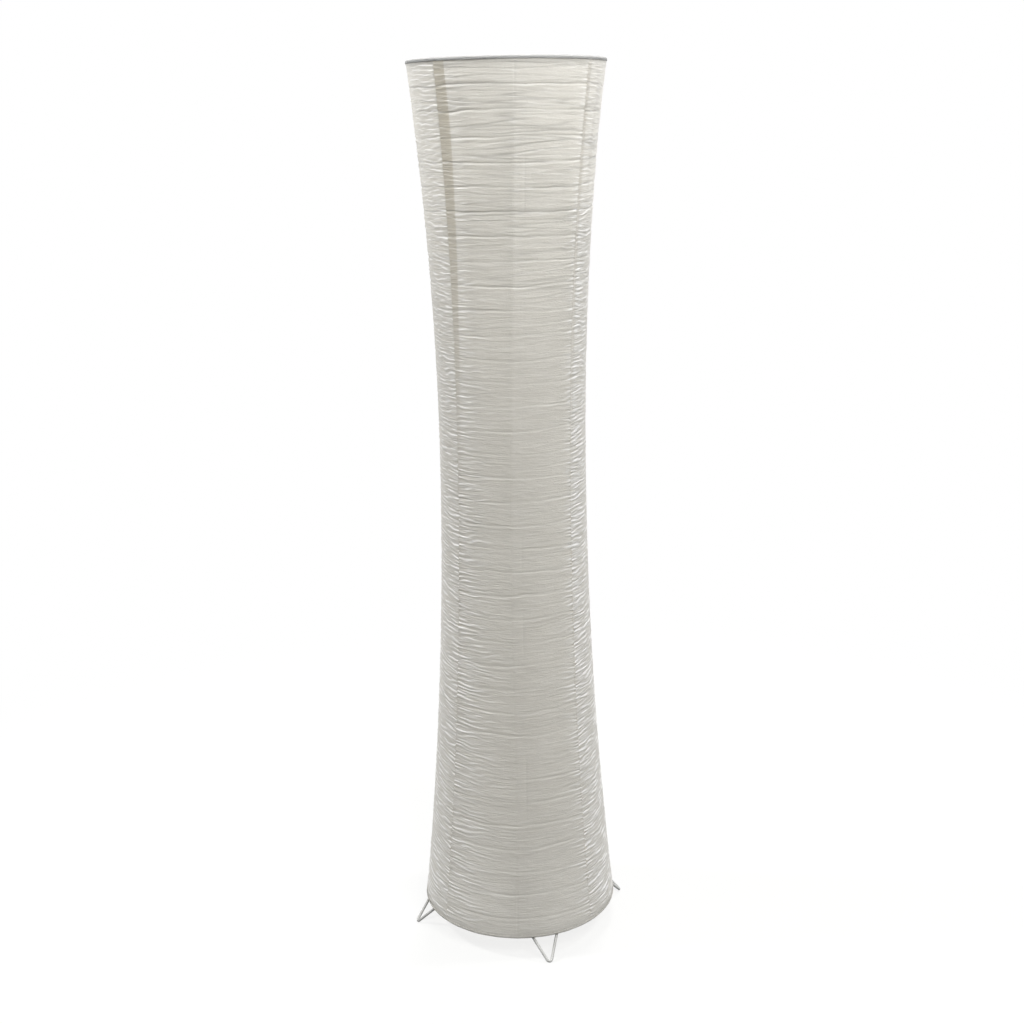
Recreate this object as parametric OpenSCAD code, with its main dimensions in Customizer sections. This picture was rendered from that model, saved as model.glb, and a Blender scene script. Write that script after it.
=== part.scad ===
// Paper lantern floor lamp: a waisted paper sleeve on two hoops, held up by four rods that stand on a
// wire base with four V-shaped feet. An E27 lampholder with its bulb stands in the middle of the base.
// The origin is on the floor, under the middle of the lamp. The feet stand on the diagonals.

/* [Sleeve] */
// Height of the lamp, from the floor to the top of the rim
height = 1070; // [1000:5:1140]
// Outer diameter at the top rim
top_d = 227.4; // [210:1:250]
// Outer diameter at the lower rim
bottom_d = 246; // [230:1:270]
// Outer diameter at the waist
waist_d = 177; // [174:1:200]
// Height of the waist above the floor
waist_z = 637; // [560:5:700]
// Height of the lower rim above the floor
hem_z = 26.6; // [26.6:0.2:30]
// Thickness of the crinkled paper
paper_t = 0.6; // [0.4:0.1:0.8]

/* [Folds across the sleeve] */
// Number of pressed folds
fold_count = 36; // [24:1:40]
// Distance of the first fold below the top rim
fold_first = 30; // [25:1:40]
// Distance of the last fold above the lower rim
fold_last = 25; // [22:1:40]
// Spacing of the lowest folds divided by the spacing of the highest ones
fold_growth = 1.14; // [1:0.02:1.2]
// Depth of a fold
fold_depth = 0.9; // [0.4:0.1:1.2]
// Width of a fold
fold_w = 3; // [2:0.5:5]

/* [Seams down the sleeve] */
// Direction of the wide seam, from +X towards +Y, in degrees
seam_angle = -107; // [-120:1:-95]
// Part of the circle that the front gore covers, in degrees
front_gore_angle = 97; // [88:1:100]
// Open joint between two gores
seam_gap = 0.1; // [0.1:0.05:0.3]
// Width of the strip glued behind a seam
seam_strip_w = 14; // [8:1:20]
// Thickness of that strip
seam_strip_t = 0.3; // [0.2:0.1:0.5]

/* [Hoops and top spider] */
// Wire diameter of the two hoops
hoop_wire_d = 3; // [2.5:0.5:4]
// Thickness of the paper that is turned over a hoop
hem_t = 0.5; // [0.4:0.1:0.8]
// How far the turned paper reaches along the inside of the sleeve
hem_flap = 12; // [8:1:18]
// Diameter of the small hub that the top spokes meet at
top_hub_d = 20; // [16:1:30]
// Thickness of that hub
top_hub_t = 2.4; // [2:0.2:3]

/* [Base and feet] */
// Wire diameter of the base ring, its spokes and the feet
base_wire_d = 3.5; // [3:0.25:4]
// Open space between the base ring and the lower rim
base_inset = 2.7; // [2.4:0.1:6]
// Height of the base ring's wire above the floor
base_ring_z = 30; // [29:0.5:32]
// Slope of the feet above the floor, in degrees
foot_slope = 48.4; // [46:0.2:48.6]
// Half of the angle between the two legs of a foot, in degrees
foot_half_angle = 23; // [16:1:26]
// Radius of the bend at a foot's tip, to the middle of the wire
foot_bend_r = 3.2; // [3:0.1:5]
// Diameter of the hub plate in the middle of the base
hub_plate_d = 52; // [46:1:60]
// Thickness of the hub plate
hub_plate_t = 1.5; // [1.2:0.1:2.5]

/* [Rods] */
// Distance from the waist's outer side in to the middle of a rod
rod_inset = 10.5; // [9.5:0.5:18]
// Diameter of a rod
rod_d = 5; // [4:0.5:6]
// Wall of the sockets, couplers and caps
socket_wall = 1.4; // [1:0.1:2]
// Depth that a rod goes into a socket or a cap
socket_depth = 18; // [12:1:24]
// Thickness of a socket's floor and of a cap's roof
socket_floor = 2; // [1.5:0.5:3]
// Length of the coupler sleeves
coupler_len = 40; // [30:1:60]

/* [Cord inlet] */
// Outer diameter of the threaded nipple
nipple_d = 10; // [9:0.5:12]
// Bore of the nipple
nipple_bore = 8; // [7:0.5:8]
// Height of the nipple's lower end above the floor
nipple_z = 22; // [20:0.5:24]
// Length of the nipple
nipple_len = 23; // [22:0.5:23.5]
// Bore of the plastic bush that the cord passes
bush_bore = 6.4; // [5.5:0.1:6.4]
// Length of the bush inside the nipple
bush_len = 10; // [6:1:14]
// Thickness of the bush's flange
bush_flange_t = 2; // [1.5:0.5:3]
// Width across the flats of the nut
nut_af = 14; // [14:0.5:17]
// Thickness of the nut
nut_t = 4; // [3:0.25:4]
// Thickness of the washer
washer_t = 0.8; // [0.6:0.1:1]

/* [Lampholder] */
// Outer diameter of the lampholder
holder_d = 40; // [38:1:44]
// Wall of the lampholder
holder_wall = 1.8; // [1.5:0.1:2.5]
// Height of the lampholder's cap
holder_cap_h = 27; // [26:0.5:30]
// Height of the lampholder's body above its cap
holder_body_h = 36; // [34:0.5:40]
// Thickness of the insert that carries the contacts
insert_t = 9; // [7:0.5:10]

/* [Bulb] */
// Largest diameter of the bulb's thread
bulb_thread_d = 26.2; // [26:0.05:26.4]
// Lead of the thread
bulb_lead = 3.63; // [3.6:0.01:3.66]
// Largest diameter of the globe
globe_d = 60; // [55:1:65]
// Length of the housing between the cap and the globe
housing_h = 28; // [22:1:34]
// Wall of the globe and of the housing
globe_t = 1.2; // [1:0.1:2]

/* [Fits] */
// Clearance between welded or pressed pieces
weld_gap = 0.05; // [0.02:0.01:0.1]
// Clearance between two layers of paper that are glued together
glue_gap = 0.2; // [0.15:0.05:0.3]
// Radial clearance of the caps that slide off the rods
slide_gap = 0.08; // [0.05:0.01:0.1]
// Space between a piece that lifts or turns away and its seat
seat_gap = 0.3; // [0.2:0.05:0.5]

/* [Hidden] */
$fn = 96;
SIDES = ["right", "back", "left", "front"];
CORNERS = ["back_right", "back_left", "front_left", "front_right"];
GORES = ["front", "right", "back", "left"];
function each_of(stem, names) = [for (n = names) str(stem, n)];

coat = "#e9e9e6";
steel = "#b9bcc0";
plastic = "#f1f0ec";
brass = "#c9a961";
paper = "#d9d8d1";

// Sleeve: two parabolas that meet at the waist
top_r = top_d / 2;
bottom_r = bottom_d / 2;
waist_r = waist_d / 2;
function sleeve_r(z) =
    z < waist_z
    ? waist_r + (bottom_r - waist_r) * pow((waist_z - z) / (waist_z - hem_z), 2)
    : waist_r + (top_r - waist_r) * pow((z - waist_z) / (height - waist_z), 2);

// Hoops, with the turned paper round the wire
hoop_r = hoop_wire_d / 2;
hem_r = hoop_r + weld_gap + hem_t;
top_hoop_z = height - hem_r;
top_hoop_r = top_r - hem_r;
bottom_hoop_z = hem_z + hem_r;
bottom_hoop_r = bottom_r - hem_r;
gore_top_z = top_hoop_z - hem_r - glue_gap;
gore_bottom_z = bottom_hoop_z + hem_r + glue_gap;

// Folds, from the top one down, with a spacing that grows at a steady rate
fold_span = height - hem_z - fold_first - fold_last;
fold_pitch_top = 2 * fold_span / ((fold_count - 1) * (1 + fold_growth));
fold_pitch_step = fold_pitch_top * (fold_growth - 1) / (fold_count - 1);
function fold_z(n) = height - fold_first - n * fold_pitch_top - n * n * fold_pitch_step / 2;

// Gores: where each starts, and how much of the circle it covers
other_gore_angle = (360 - front_gore_angle) / 3;
function gore_start(i) = seam_angle + (i == 0 ? 0 : front_gore_angle + (i - 1) * other_gore_angle);
function gore_angle(i) = i == 0 ? front_gore_angle : other_gore_angle;
seam_gap_angle = seam_gap / waist_r * 180 / PI;
seam_strip_angle = seam_strip_w / top_r * 180 / PI;
strip_first_z = gore_bottom_z + hem_flap + hem_r;
strip_last_z = gore_top_z - hem_flap - hem_r;

// Base wires and feet. A leg runs from the tip's bend up to the ring, leg_run measured up the slope.
base_wire_r = base_wire_d / 2;
base_ring_r = bottom_hoop_r - hem_r - base_inset - base_wire_r;
bend_wire_r = base_wire_r - 0.06;
bend_lap = 0.3;
leg_run = (base_ring_z - bend_wire_r) / sin(foot_slope);
leg_start = foot_bend_r * (1 - sin(foot_half_angle));
leg_len = (leg_run - leg_start) / cos(foot_half_angle);
leg_spread = foot_bend_r * cos(foot_half_angle) + leg_len * sin(foot_half_angle);
foot_tip_r = sqrt(pow(base_ring_r, 2) - pow(leg_spread, 2)) + leg_run * cos(foot_slope);
plate_z = base_ring_z + base_wire_r + weld_gap;
plate_top_z = plate_z + hub_plate_t;

// Nut, washer and bush. The spokes end a little outside the nut, so that a spanner fits.
nut_r = nut_af / 2 / cos(30);
washer_rim = 1;
washer_r = nut_af / 2 + washer_rim;
bush_rim = 1.5;
spanner_room = 2;
spoke_end_r = nut_r + spanner_room;

// Rods
rod_r = rod_d / 2;
rod_circle_r = waist_r - rod_inset;
socket_r = rod_r + weld_gap + socket_wall;
rod_bottom_z = plate_z + socket_floor + weld_gap;
cap_top_z = top_hoop_z - hoop_r - weld_gap;
rod_top_z = cap_top_z - socket_floor - seat_gap;
rod_mid_z = (rod_bottom_z + rod_top_z) / 2;

// Lampholder's cap: a neck with the nipple's thread, a shoulder, a cone and a rim
holder_r = holder_d / 2;
holder_inside_r = holder_r - holder_wall;
cap_z = plate_top_z + weld_gap;
cap_end_z = cap_z + holder_cap_h;
cap_rim_h = 5;
nipple_hole_r = nipple_d / 2 + weld_gap;
neck_wall = 3.4;
neck_r = nipple_hole_r + neck_wall;
neck_h = 10;
shoulder = 3;
grub_screw_r = 1.5;
screw_slot_w = 0.6;

// Lampholder's insert, held between a ledge in the cap and a lip in the body
insert_lap = 3;
insert_ledge = 1.7;
ledge_t = 2;
insert_r = holder_inside_r - weld_gap;
insert_z = cap_end_z - insert_lap;
insert_top_z = insert_z + insert_t;
terminal_h = 1.8;
terminal_x = 11;

// Lampholder's body, with its mouth at the top
body_z = cap_end_z + weld_gap;
body_end_z = body_z + holder_body_h;
mouth_t = 2;
mouth_edge = 1.2;

// Screw shell and contacts. The thread has some play.
thread_depth = 0.9;
thread_gap = 0.3;
shell_wall = 0.5;
shell_r = bulb_thread_d / 2 + thread_gap;
shell_outer_r = shell_r + thread_depth + shell_wall;
shell_z = insert_top_z + weld_gap;
contact_t = 0.4;
contact_w = 5;
live_h = 1.6;
live_heel_x = 7;
live_len = 11;
neutral_h = 9;

// Bulb, upwards from its solder contact. The skirt above its thread ends at the lampholder's mouth.
pip_z = insert_top_z + live_h + seat_gap;
pip_r = 4.6;
pip_h = 1.4;
insulator_z = pip_z + pip_h + weld_gap;
insulator_h = 3.6;
insulator_r = bulb_thread_d / 2 - 3.4;
bulb_cap_z = insulator_z + insulator_h + weld_gap;
thread_turns = 5;
thread_h = thread_turns * bulb_lead;
bulb_skirt_h = body_end_z - bulb_cap_z - thread_h + seat_gap;
housing_z = bulb_cap_z + thread_h + bulb_skirt_h + weld_gap;
globe_z = housing_z + housing_h;
globe_r = globe_d / 2;
globe_tuck = 3.2;
neck_of_globe_r = globe_r - globe_tuck;

// Board inside the globe, sunk into the housing's rim, and its chips
board_sink = 2;
board_t = 1.2;
board_z = globe_z - board_sink + weld_gap;
led_count = 10;
led_circle_r = globe_r / 2;
led_size = [3.5, 2.8, 0.7];

// ---- wire shapes ----

module wire_ring(ring_r, wire_r, z) {
    translate([0, 0, z])
        rotate_extrude()
            translate([ring_r, 0]) circle(r = wire_r);
}

// A straight wire along +X, from one distance from the axis to another
module spoke(from_r, to_r, wire_r, z) {
    translate([from_r, 0, z])
        rotate([0, 90, 0]) cylinder(h = to_r - from_r, r = wire_r);
}

// ---- base ----

module base_ring() {
    color(coat) wire_ring(base_ring_r, base_wire_r, base_ring_z);
}

// One wire, bent round a small radius at the tip, with its two ends coped to the base ring.
// Bending stretches the wire, so the bend is a hair thinner, and its ends lie inside the legs.
module foot() {
    color(coat)
        difference() {
            translate([foot_tip_r, 0, bend_wire_r]) rotate([foot_slope, 0, 90]) {
                translate([0, foot_bend_r, 0])
                    rotate([0, 0, 180 + foot_half_angle])
                        rotate_extrude(angle = 180 - 2 * foot_half_angle)
                            translate([foot_bend_r, 0]) circle(r = bend_wire_r);
                for (side = [0, 1])
                    mirror([side, 0, 0])
                        translate([foot_bend_r * cos(foot_half_angle), leg_start, 0])
                            rotate([-90, 0, -foot_half_angle])
                                translate([0, 0, -bend_lap])
                                    cylinder(h = leg_len + bend_lap, r = base_wire_r);
            }
            wire_ring(base_ring_r, base_wire_r + weld_gap, base_ring_z);
        }
}

module base_spoke() {
    color(coat)
        difference() {
            spoke(spoke_end_r, base_ring_r, base_wire_r, base_ring_z);
            wire_ring(base_ring_r, base_wire_r + weld_gap, base_ring_z);
        }
}

module hub_plate() {
    color(coat)
        translate([0, 0, plate_z])
            difference() {
                cylinder(h = hub_plate_t, d = hub_plate_d);
                translate([0, 0, -1]) cylinder(h = hub_plate_t + 2, r = nipple_hole_r);
            }
}

// ---- rods ----

// A short tube closed at the bottom, welded on a spoke
module rod_socket() {
    color(coat)
        translate([rod_circle_r, 0, plate_z])
            difference() {
                cylinder(h = socket_floor + socket_depth, r = socket_r);
                translate([0, 0, socket_floor])
                    cylinder(h = socket_depth + 1, r = rod_r + weld_gap);
            }
}

module rod_lower() {
    color(coat)
        translate([rod_circle_r, 0, rod_bottom_z])
            cylinder(h = rod_mid_z - weld_gap - rod_bottom_z, r = rod_r);
}

module rod_upper() {
    color(coat)
        translate([rod_circle_r, 0, rod_mid_z + weld_gap])
            cylinder(h = rod_top_z - rod_mid_z - weld_gap, r = rod_r);
}

module rod_couplers() {
    color(coat)
        for (i = [0:3])
            rotate([0, 0, 90 * i])
                translate([rod_circle_r, 0, rod_mid_z - coupler_len / 2])
                    difference() {
                        cylinder(h = coupler_len, r = socket_r);
                        translate([0, 0, -1])
                            cylinder(h = coupler_len + 2, r = rod_r + weld_gap);
                    }
}

// A short tube closed at the top, welded under a top spoke, that drops over the end of a rod
module rod_cap() {
    color(coat)
        translate([rod_circle_r, 0, cap_top_z - socket_floor - socket_depth])
            difference() {
                cylinder(h = socket_floor + socket_depth, r = socket_r);
                translate([0, 0, -1])
                    cylinder(h = socket_depth + 1, r = rod_r + slide_gap);
            }
}

// ---- cord inlet ----

module threaded_nipple() {
    color(steel)
        translate([0, 0, nipple_z])
            difference() {
                cylinder(h = nipple_len, d = nipple_d);
                translate([0, 0, -1]) cylinder(h = nipple_len + 2, d = nipple_bore);
            }
}

module nipple_nut() {
    color(steel)
        translate([0, 0, plate_z - weld_gap - washer_t - weld_gap - nut_t])
            difference() {
                cylinder(h = nut_t, r = nut_r, $fn = 6);
                translate([0, 0, -1]) cylinder(h = nut_t + 2, r = nipple_hole_r);
            }
}

module lock_washer() {
    color(steel)
        translate([0, 0, plate_z - weld_gap - washer_t])
            difference() {
                cylinder(h = washer_t, r = washer_r);
                translate([0, 0, -1]) cylinder(h = washer_t + 2, r = nipple_hole_r);
            }
}

module cord_inlet_bush() {
    color(plastic)
        translate([0, 0, nipple_z - weld_gap - bush_flange_t])
            difference() {
                union() {
                    cylinder(h = bush_flange_t, r = nipple_d / 2 + bush_rim);
                    cylinder(h = bush_flange_t + weld_gap + bush_len, r = nipple_bore / 2 - weld_gap);
                }
                translate([0, 0, -1])
                    cylinder(h = bush_flange_t + bush_len + 2, d = bush_bore);
            }
}

// ---- lampholder ----

// A neck that screws on the nipple and opens out to the full width, with a hole for its grub screw
module lampholder_cap() {
    shoulder_z = cap_z + neck_h;
    rim_z = cap_end_z - cap_rim_h;
    ledge_z = insert_z - weld_gap;
    ledge_r = insert_r - insert_ledge;
    color(plastic)
        difference() {
            rotate_extrude()
                polygon([
                    [nipple_hole_r, cap_z],
                    [neck_r, cap_z],
                    [neck_r, shoulder_z],
                    [neck_r + shoulder, shoulder_z + shoulder],
                    [holder_r - shoulder, rim_z - shoulder],
                    [holder_r, rim_z],
                    [holder_r, cap_end_z],
                    [holder_inside_r, cap_end_z],
                    [holder_inside_r, ledge_z],
                    [ledge_r, ledge_z],
                    [ledge_r, ledge_z - ledge_t],
                    [neck_r, shoulder_z + shoulder],
                    [nipple_hole_r, shoulder_z + holder_wall]
                ]);
            translate([0, 0, cap_z + neck_h / 2])
                rotate([0, 90, 0]) cylinder(h = holder_r, r = grub_screw_r + weld_gap);
        }
}

module grub_screw() {
    screw_len = neck_r - nipple_hole_r;
    color(steel)
        translate([nipple_hole_r, 0, cap_z + neck_h / 2])
            rotate([0, 90, 0])
                difference() {
                    cylinder(h = screw_len, r = grub_screw_r);
                    translate([-screw_slot_w / 2, -2 * grub_screw_r, screw_len - grub_screw_r / 2])
                        cube([screw_slot_w, 4 * grub_screw_r, grub_screw_r]);
                }
}

// A plain tube with a lip that holds the insert down and a rim round the mouth
module lampholder_body() {
    lip_z = insert_top_z + weld_gap;
    lip_r = holder_inside_r - insert_ledge;
    mouth_r = shell_outer_r + mouth_edge / 3;
    color(plastic)
        rotate_extrude()
            polygon([
                [holder_inside_r, body_z],
                [holder_r, body_z],
                [holder_r, body_end_z - mouth_edge],
                [holder_r - mouth_edge, body_end_z],
                [mouth_r, body_end_z],
                [mouth_r, body_end_z - mouth_t],
                [holder_inside_r, body_end_z - mouth_t - mouth_edge],
                [holder_inside_r, lip_z + ledge_t],
                [lip_r, lip_z + ledge_t * 0.75],
                [lip_r, lip_z],
                [holder_inside_r, lip_z]
            ]);
}

module lampholder_insert() {
    cord_room_r = 6;
    color(plastic)
        translate([0, 0, insert_z])
            difference() {
                cylinder(h = insert_t, r = insert_r);
                translate([0, 0, -1]) cylinder(h = insert_t / 3 + 1, r = cord_room_r);
            }
}

// The brass shell, with the rounded thread rolled into it as rings
module screw_shell() {
    turns = floor((body_end_z - 2 * mouth_t - shell_z) / bulb_lead);
    inside = [for (i = [0:turns - 1], k = [0:2])
        [shell_r + (k == 1 ? thread_depth : 0), shell_z + (i + k / 3) * bulb_lead]];
    outside = [for (i = [len(inside) - 1:-1:0]) inside[i] + [shell_wall, 0]];
    color(brass) rotate_extrude() polygon(concat(inside, outside));
}

// A bent strip on the insert, with its free end under the bulb's contact
module live_contact() {
    free_end_h = live_h - weld_gap;
    color(brass)
        translate([-live_heel_x, -contact_w / 2, insert_top_z + weld_gap]) {
            cube([contact_t, contact_w, free_end_h]);
            translate([0, 0, free_end_h - contact_t]) cube([live_len, contact_w, contact_t]);
        }
}

module neutral_contact() {
    color(brass)
        translate([shell_outer_r + weld_gap, -contact_w / 2, insert_top_z + weld_gap])
            cube([contact_t, contact_w, neutral_h]);
}

module terminal_screws() {
    head_r = terminal_h * 4 / 3;
    color(brass)
        for (side = [-1, 1])
            translate([terminal_x * side, 0, insert_z - weld_gap - terminal_h])
                difference() {
                    cylinder(h = terminal_h, r = head_r);
                    translate([-2 * head_r, -screw_slot_w / 2, -terminal_h])
                        cube([4 * head_r, screw_slot_w, terminal_h * 4 / 3]);
                }
}

// ---- bulb ----

// A drop of solder: a cone with a rounded nose
module bulb_contact() {
    color(steel)
        translate([0, 0, pip_z])
            rotate_extrude()
                polygon([
                    [0, 0], [pip_r * 0.7, 0], [pip_r * 0.95, pip_h / 3], [pip_r, pip_h], [0, pip_h]
                ]);
}

module bulb_insulator() {
    color("#26262a")
        translate([0, 0, insulator_z])
            cylinder(h = insulator_h, r1 = pip_r + mouth_edge / 2, r2 = insulator_r);
}

// A drawn metal cap with the thread rolled into it as rings
module bulb_cap() {
    root_r = bulb_thread_d / 2 - thread_depth;
    outside = concat(
        [[insulator_r + glue_gap, 0]],
        [for (i = [0:thread_turns - 1], k = [0:1])
            [k == 0 ? root_r : bulb_thread_d / 2, (i + 0.25 + k / 2) * bulb_lead]],
        [[root_r, thread_h], [root_r, thread_h + bulb_skirt_h]]
    );
    inside = [for (i = [len(outside) - 1:-1:0]) outside[i] - [shell_wall, 0]];
    color(steel)
        translate([0, 0, bulb_cap_z]) rotate_extrude() polygon(concat(outside, inside));
}

// A flared shell between the cap and the globe, with a ledge for the board
module bulb_housing() {
    foot_r = bulb_thread_d / 2 + globe_t / 2;
    hole_r = pip_r;
    wall = 2 * globe_t;
    flare_h = housing_h * 0.6;
    heel_h = housing_h * 0.2;
    color(plastic)
        translate([0, 0, housing_z])
            rotate_extrude()
                polygon([
                    [hole_r, 0],
                    [foot_r, 0],
                    [foot_r + globe_t, heel_h],
                    [neck_of_globe_r - 2 * globe_tuck, flare_h],
                    [neck_of_globe_r, housing_h],
                    [neck_of_globe_r - wall, housing_h],
                    [neck_of_globe_r - wall, housing_h - board_sink],
                    [neck_of_globe_r - 2 * wall, housing_h - board_sink],
                    [neck_of_globe_r - 2 * globe_tuck - wall, flare_h],
                    [foot_r + globe_t - wall, heel_h],
                    [foot_r - wall, globe_t],
                    [hole_r, globe_t]
                ]);
}

module led_board() {
    color("#f4f2ea")
        translate([0, 0, board_z]) cylinder(h = board_t, r = neck_of_globe_r - 2 * globe_t - weld_gap);
}

module led_chips() {
    color("#f2df7c")
        for (i = [0:led_count - 1])
            rotate([0, 0, 360 / led_count * i])
                translate([led_circle_r - led_size[0] / 2, -led_size[1] / 2, board_z + board_t + weld_gap])
                    cube(led_size);
}

// The opal dome: a ball cut off where it meets the housing
module bulb_globe() {
    bulge_z = sqrt(pow(globe_r, 2) - pow(neck_of_globe_r, 2));
    color("#f6f4ee")
        translate([0, 0, globe_z + weld_gap + bulge_z])
            rotate_extrude()
                difference() {
                    intersection() {
                        circle(r = globe_r);
                        translate([0, -bulge_z]) square([globe_r, globe_r + bulge_z]);
                    }
                    circle(r = globe_r - globe_t);
                }
}

// ---- top hoop and spider ----

module top_hoop() {
    color(steel) wire_ring(top_hoop_r, hoop_r, top_hoop_z);
}

module top_spoke() {
    color(coat)
        difference() {
            spoke(top_hub_d / 2 - hoop_r, top_hoop_r, hoop_r, top_hoop_z);
            wire_ring(top_hoop_r, hoop_r + weld_gap, top_hoop_z);
            translate([0, 0, top_hoop_z - top_hub_t])
                cylinder(h = 2 * top_hub_t, r = top_hub_d / 2 + weld_gap);
        }
}

module top_hub() {
    color(coat)
        translate([0, 0, top_hoop_z - top_hub_t / 2])
            difference() {
                cylinder(h = top_hub_t, d = top_hub_d);
                translate([0, 0, -1]) cylinder(h = top_hub_t + 2, r = top_hub_d / 4);
            }
}

// ---- paper ----

// The paper turned round a hoop, with its flap on the inside of the sleeve.
// way is -1 where the flap runs down from the hoop and 1 where it runs up.
module turned_hem(ring_r, ring_z, way) {
    root_z = ring_z + way * hem_r * 0.8;
    tip_z = ring_z + way * (hem_r + hem_flap);
    function inner(z) = sleeve_r(z) - paper_t - glue_gap;
    difference() {
        union() {
            wire_ring(ring_r, hem_r, ring_z);
            rotate_extrude()
                polygon([
                    [inner(root_z), root_z],
                    [inner(tip_z), tip_z],
                    [inner(tip_z) - hem_t, tip_z],
                    [inner(root_z) - hem_t, root_z]
                ]);
        }
        wire_ring(ring_r, hoop_r + weld_gap, ring_z);
    }
}

// Notched where the four spokes reach the hoop
module top_binding() {
    color(paper)
        difference() {
            turned_hem(top_hoop_r, top_hoop_z, -1);
            for (i = [0:3])
                rotate([0, 0, 90 * i])
                    spoke(rod_circle_r, top_hoop_r - hoop_r / 4, hoop_r + 2 * weld_gap, top_hoop_z);
        }
}

module bottom_hoop() {
    color(steel) wire_ring(bottom_hoop_r, hoop_r, bottom_hoop_z);
}

module bottom_binding() {
    color(paper) turned_hem(bottom_hoop_r, bottom_hoop_z, 1);
}

// Points of the sleeve's outer side from one height up to another, moved inwards by a depth
function sleeve_line(low, high, depth) = [
    [sleeve_r(low) - depth, low],
    for (n = [fold_count - 1:-1:0]) if (fold_z(n) - fold_w > low && fold_z(n) + fold_w < high)
        for (k = [-1:1])
            [sleeve_r(fold_z(n)) - depth - (k == 0 ? fold_depth : 0), fold_z(n) + k * fold_w / 2],
    [sleeve_r(high) - depth, high]
];
function reversed(line) = [for (i = [len(line) - 1:-1:0]) line[i]];

// A sheet of paper between two depths, over part of the circle
module sleeve_sheet(low, high, depth, thick, start, angle) {
    rotate([0, 0, start])
        rotate_extrude(angle = angle)
            polygon(concat(
                sleeve_line(low, high, depth),
                reversed(sleeve_line(low, high, depth + thick))
            ));
}

module paper_gore(i) {
    color(paper)
        sleeve_sheet(
            gore_bottom_z, gore_top_z, 0, paper_t,
            gore_start(i) + seam_gap_angle / 2, gore_angle(i) - seam_gap_angle
        );
}

// The glued strips lie behind the seams, each centred on its seam
module seam_strips() {
    color(paper)
        for (i = [0:3])
            sleeve_sheet(
                strip_first_z, strip_last_z, paper_t + glue_gap, seam_strip_t,
                gore_start(i) - seam_strip_angle / 2, seam_strip_angle
            );
}

// ---- the lamp ----

base_ring();
hub_plate();
for (i = [0:3]) {
    rotate([0, 0, 90 * i + 45]) foot();
    rotate([0, 0, 90 * i]) base_spoke();
    rotate([0, 0, 90 * i]) rod_socket();
    rotate([0, 0, 90 * i]) rod_lower();
    rotate([0, 0, 90 * i]) rod_upper();
    rotate([0, 0, 90 * i]) top_spoke();
    rotate([0, 0, 90 * i]) rod_cap();
    paper_gore(i);
}
rod_couplers();
threaded_nipple();
nipple_nut();
lock_washer();
cord_inlet_bush();
lampholder_cap();
grub_screw();
lampholder_body();
lampholder_insert();
screw_shell();
live_contact();
neutral_contact();
terminal_screws();
bulb_contact();
bulb_insulator();
bulb_cap();
bulb_housing();
led_board();
led_chips();
bulb_globe();
top_hoop();
top_hub();
top_binding();
seam_strips();
bottom_hoop();
bottom_binding();
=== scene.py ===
# %% [markdown]
# # A paper lantern floor lamp
# The lamp is a tall waisted sleeve of crinkled white paper, stretched between two wire hoops. Four rods
# inside carry it, and they stand on a wire base with four V-shaped feet and an upright bulb.
#
# The construction comes from a CAD model, which is loaded as a fixed frame. This script dresses it: it
# builds the paper, the wires and the fittings as fine meshes, and gives each its finish. The paper is
# worked out in metres and the fittings in millimetres, and +Z is up.

# %% Load the frame
import math

import bmesh
import bpy
import numpy as np
from mathutils import Matrix, Vector


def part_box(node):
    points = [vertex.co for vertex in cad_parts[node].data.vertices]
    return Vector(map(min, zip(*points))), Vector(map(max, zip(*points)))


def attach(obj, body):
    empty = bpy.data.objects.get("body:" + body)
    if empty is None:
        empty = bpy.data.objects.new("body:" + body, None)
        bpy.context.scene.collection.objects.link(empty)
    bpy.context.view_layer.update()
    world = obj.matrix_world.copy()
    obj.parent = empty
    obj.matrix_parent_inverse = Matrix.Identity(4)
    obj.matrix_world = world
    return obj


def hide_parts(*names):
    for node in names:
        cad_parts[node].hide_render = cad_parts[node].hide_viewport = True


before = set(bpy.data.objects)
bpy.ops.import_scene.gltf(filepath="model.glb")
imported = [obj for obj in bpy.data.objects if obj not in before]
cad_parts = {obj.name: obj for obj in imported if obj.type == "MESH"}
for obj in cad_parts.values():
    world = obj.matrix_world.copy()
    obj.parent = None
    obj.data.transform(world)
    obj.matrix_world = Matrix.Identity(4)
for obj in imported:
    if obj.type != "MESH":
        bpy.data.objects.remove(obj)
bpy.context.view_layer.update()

scene = bpy.context.scene

# %% [markdown]
# ## The camera
# The camera comes first. Its place was found by fitting the two rims, the feet and the outline of the
# sleeve, whose real sizes are known. It stands 1.67 m from the lamp, a little below the top rim, and looks
# down by 15 degrees. The picture leans by one degree, which is a roll of the camera and not a lean of the
# lamp.

# %% Camera
CAMERA_ANGLE = math.radians(-59.8)
CAMERA_DISTANCE, CAMERA_HEIGHT = 1.669, 0.999
CAMERA_PITCH, CAMERA_ROLL = math.radians(15.34), math.radians(-0.97)
IMAGE_WIDTH = 1024
FOCAL_PIXELS = 1411.9
AXIS_PIXEL = 513.7  # the picture's column that lies straight ahead of the lens
SENSOR = 36.0


def around(turn, distance, height):
    """A point at a distance from the lamp's axis: turn is in degrees to the right of the camera."""
    angle = CAMERA_ANGLE + math.radians(turn)
    return Vector((distance * math.cos(angle), distance * math.sin(angle), height))


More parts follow.
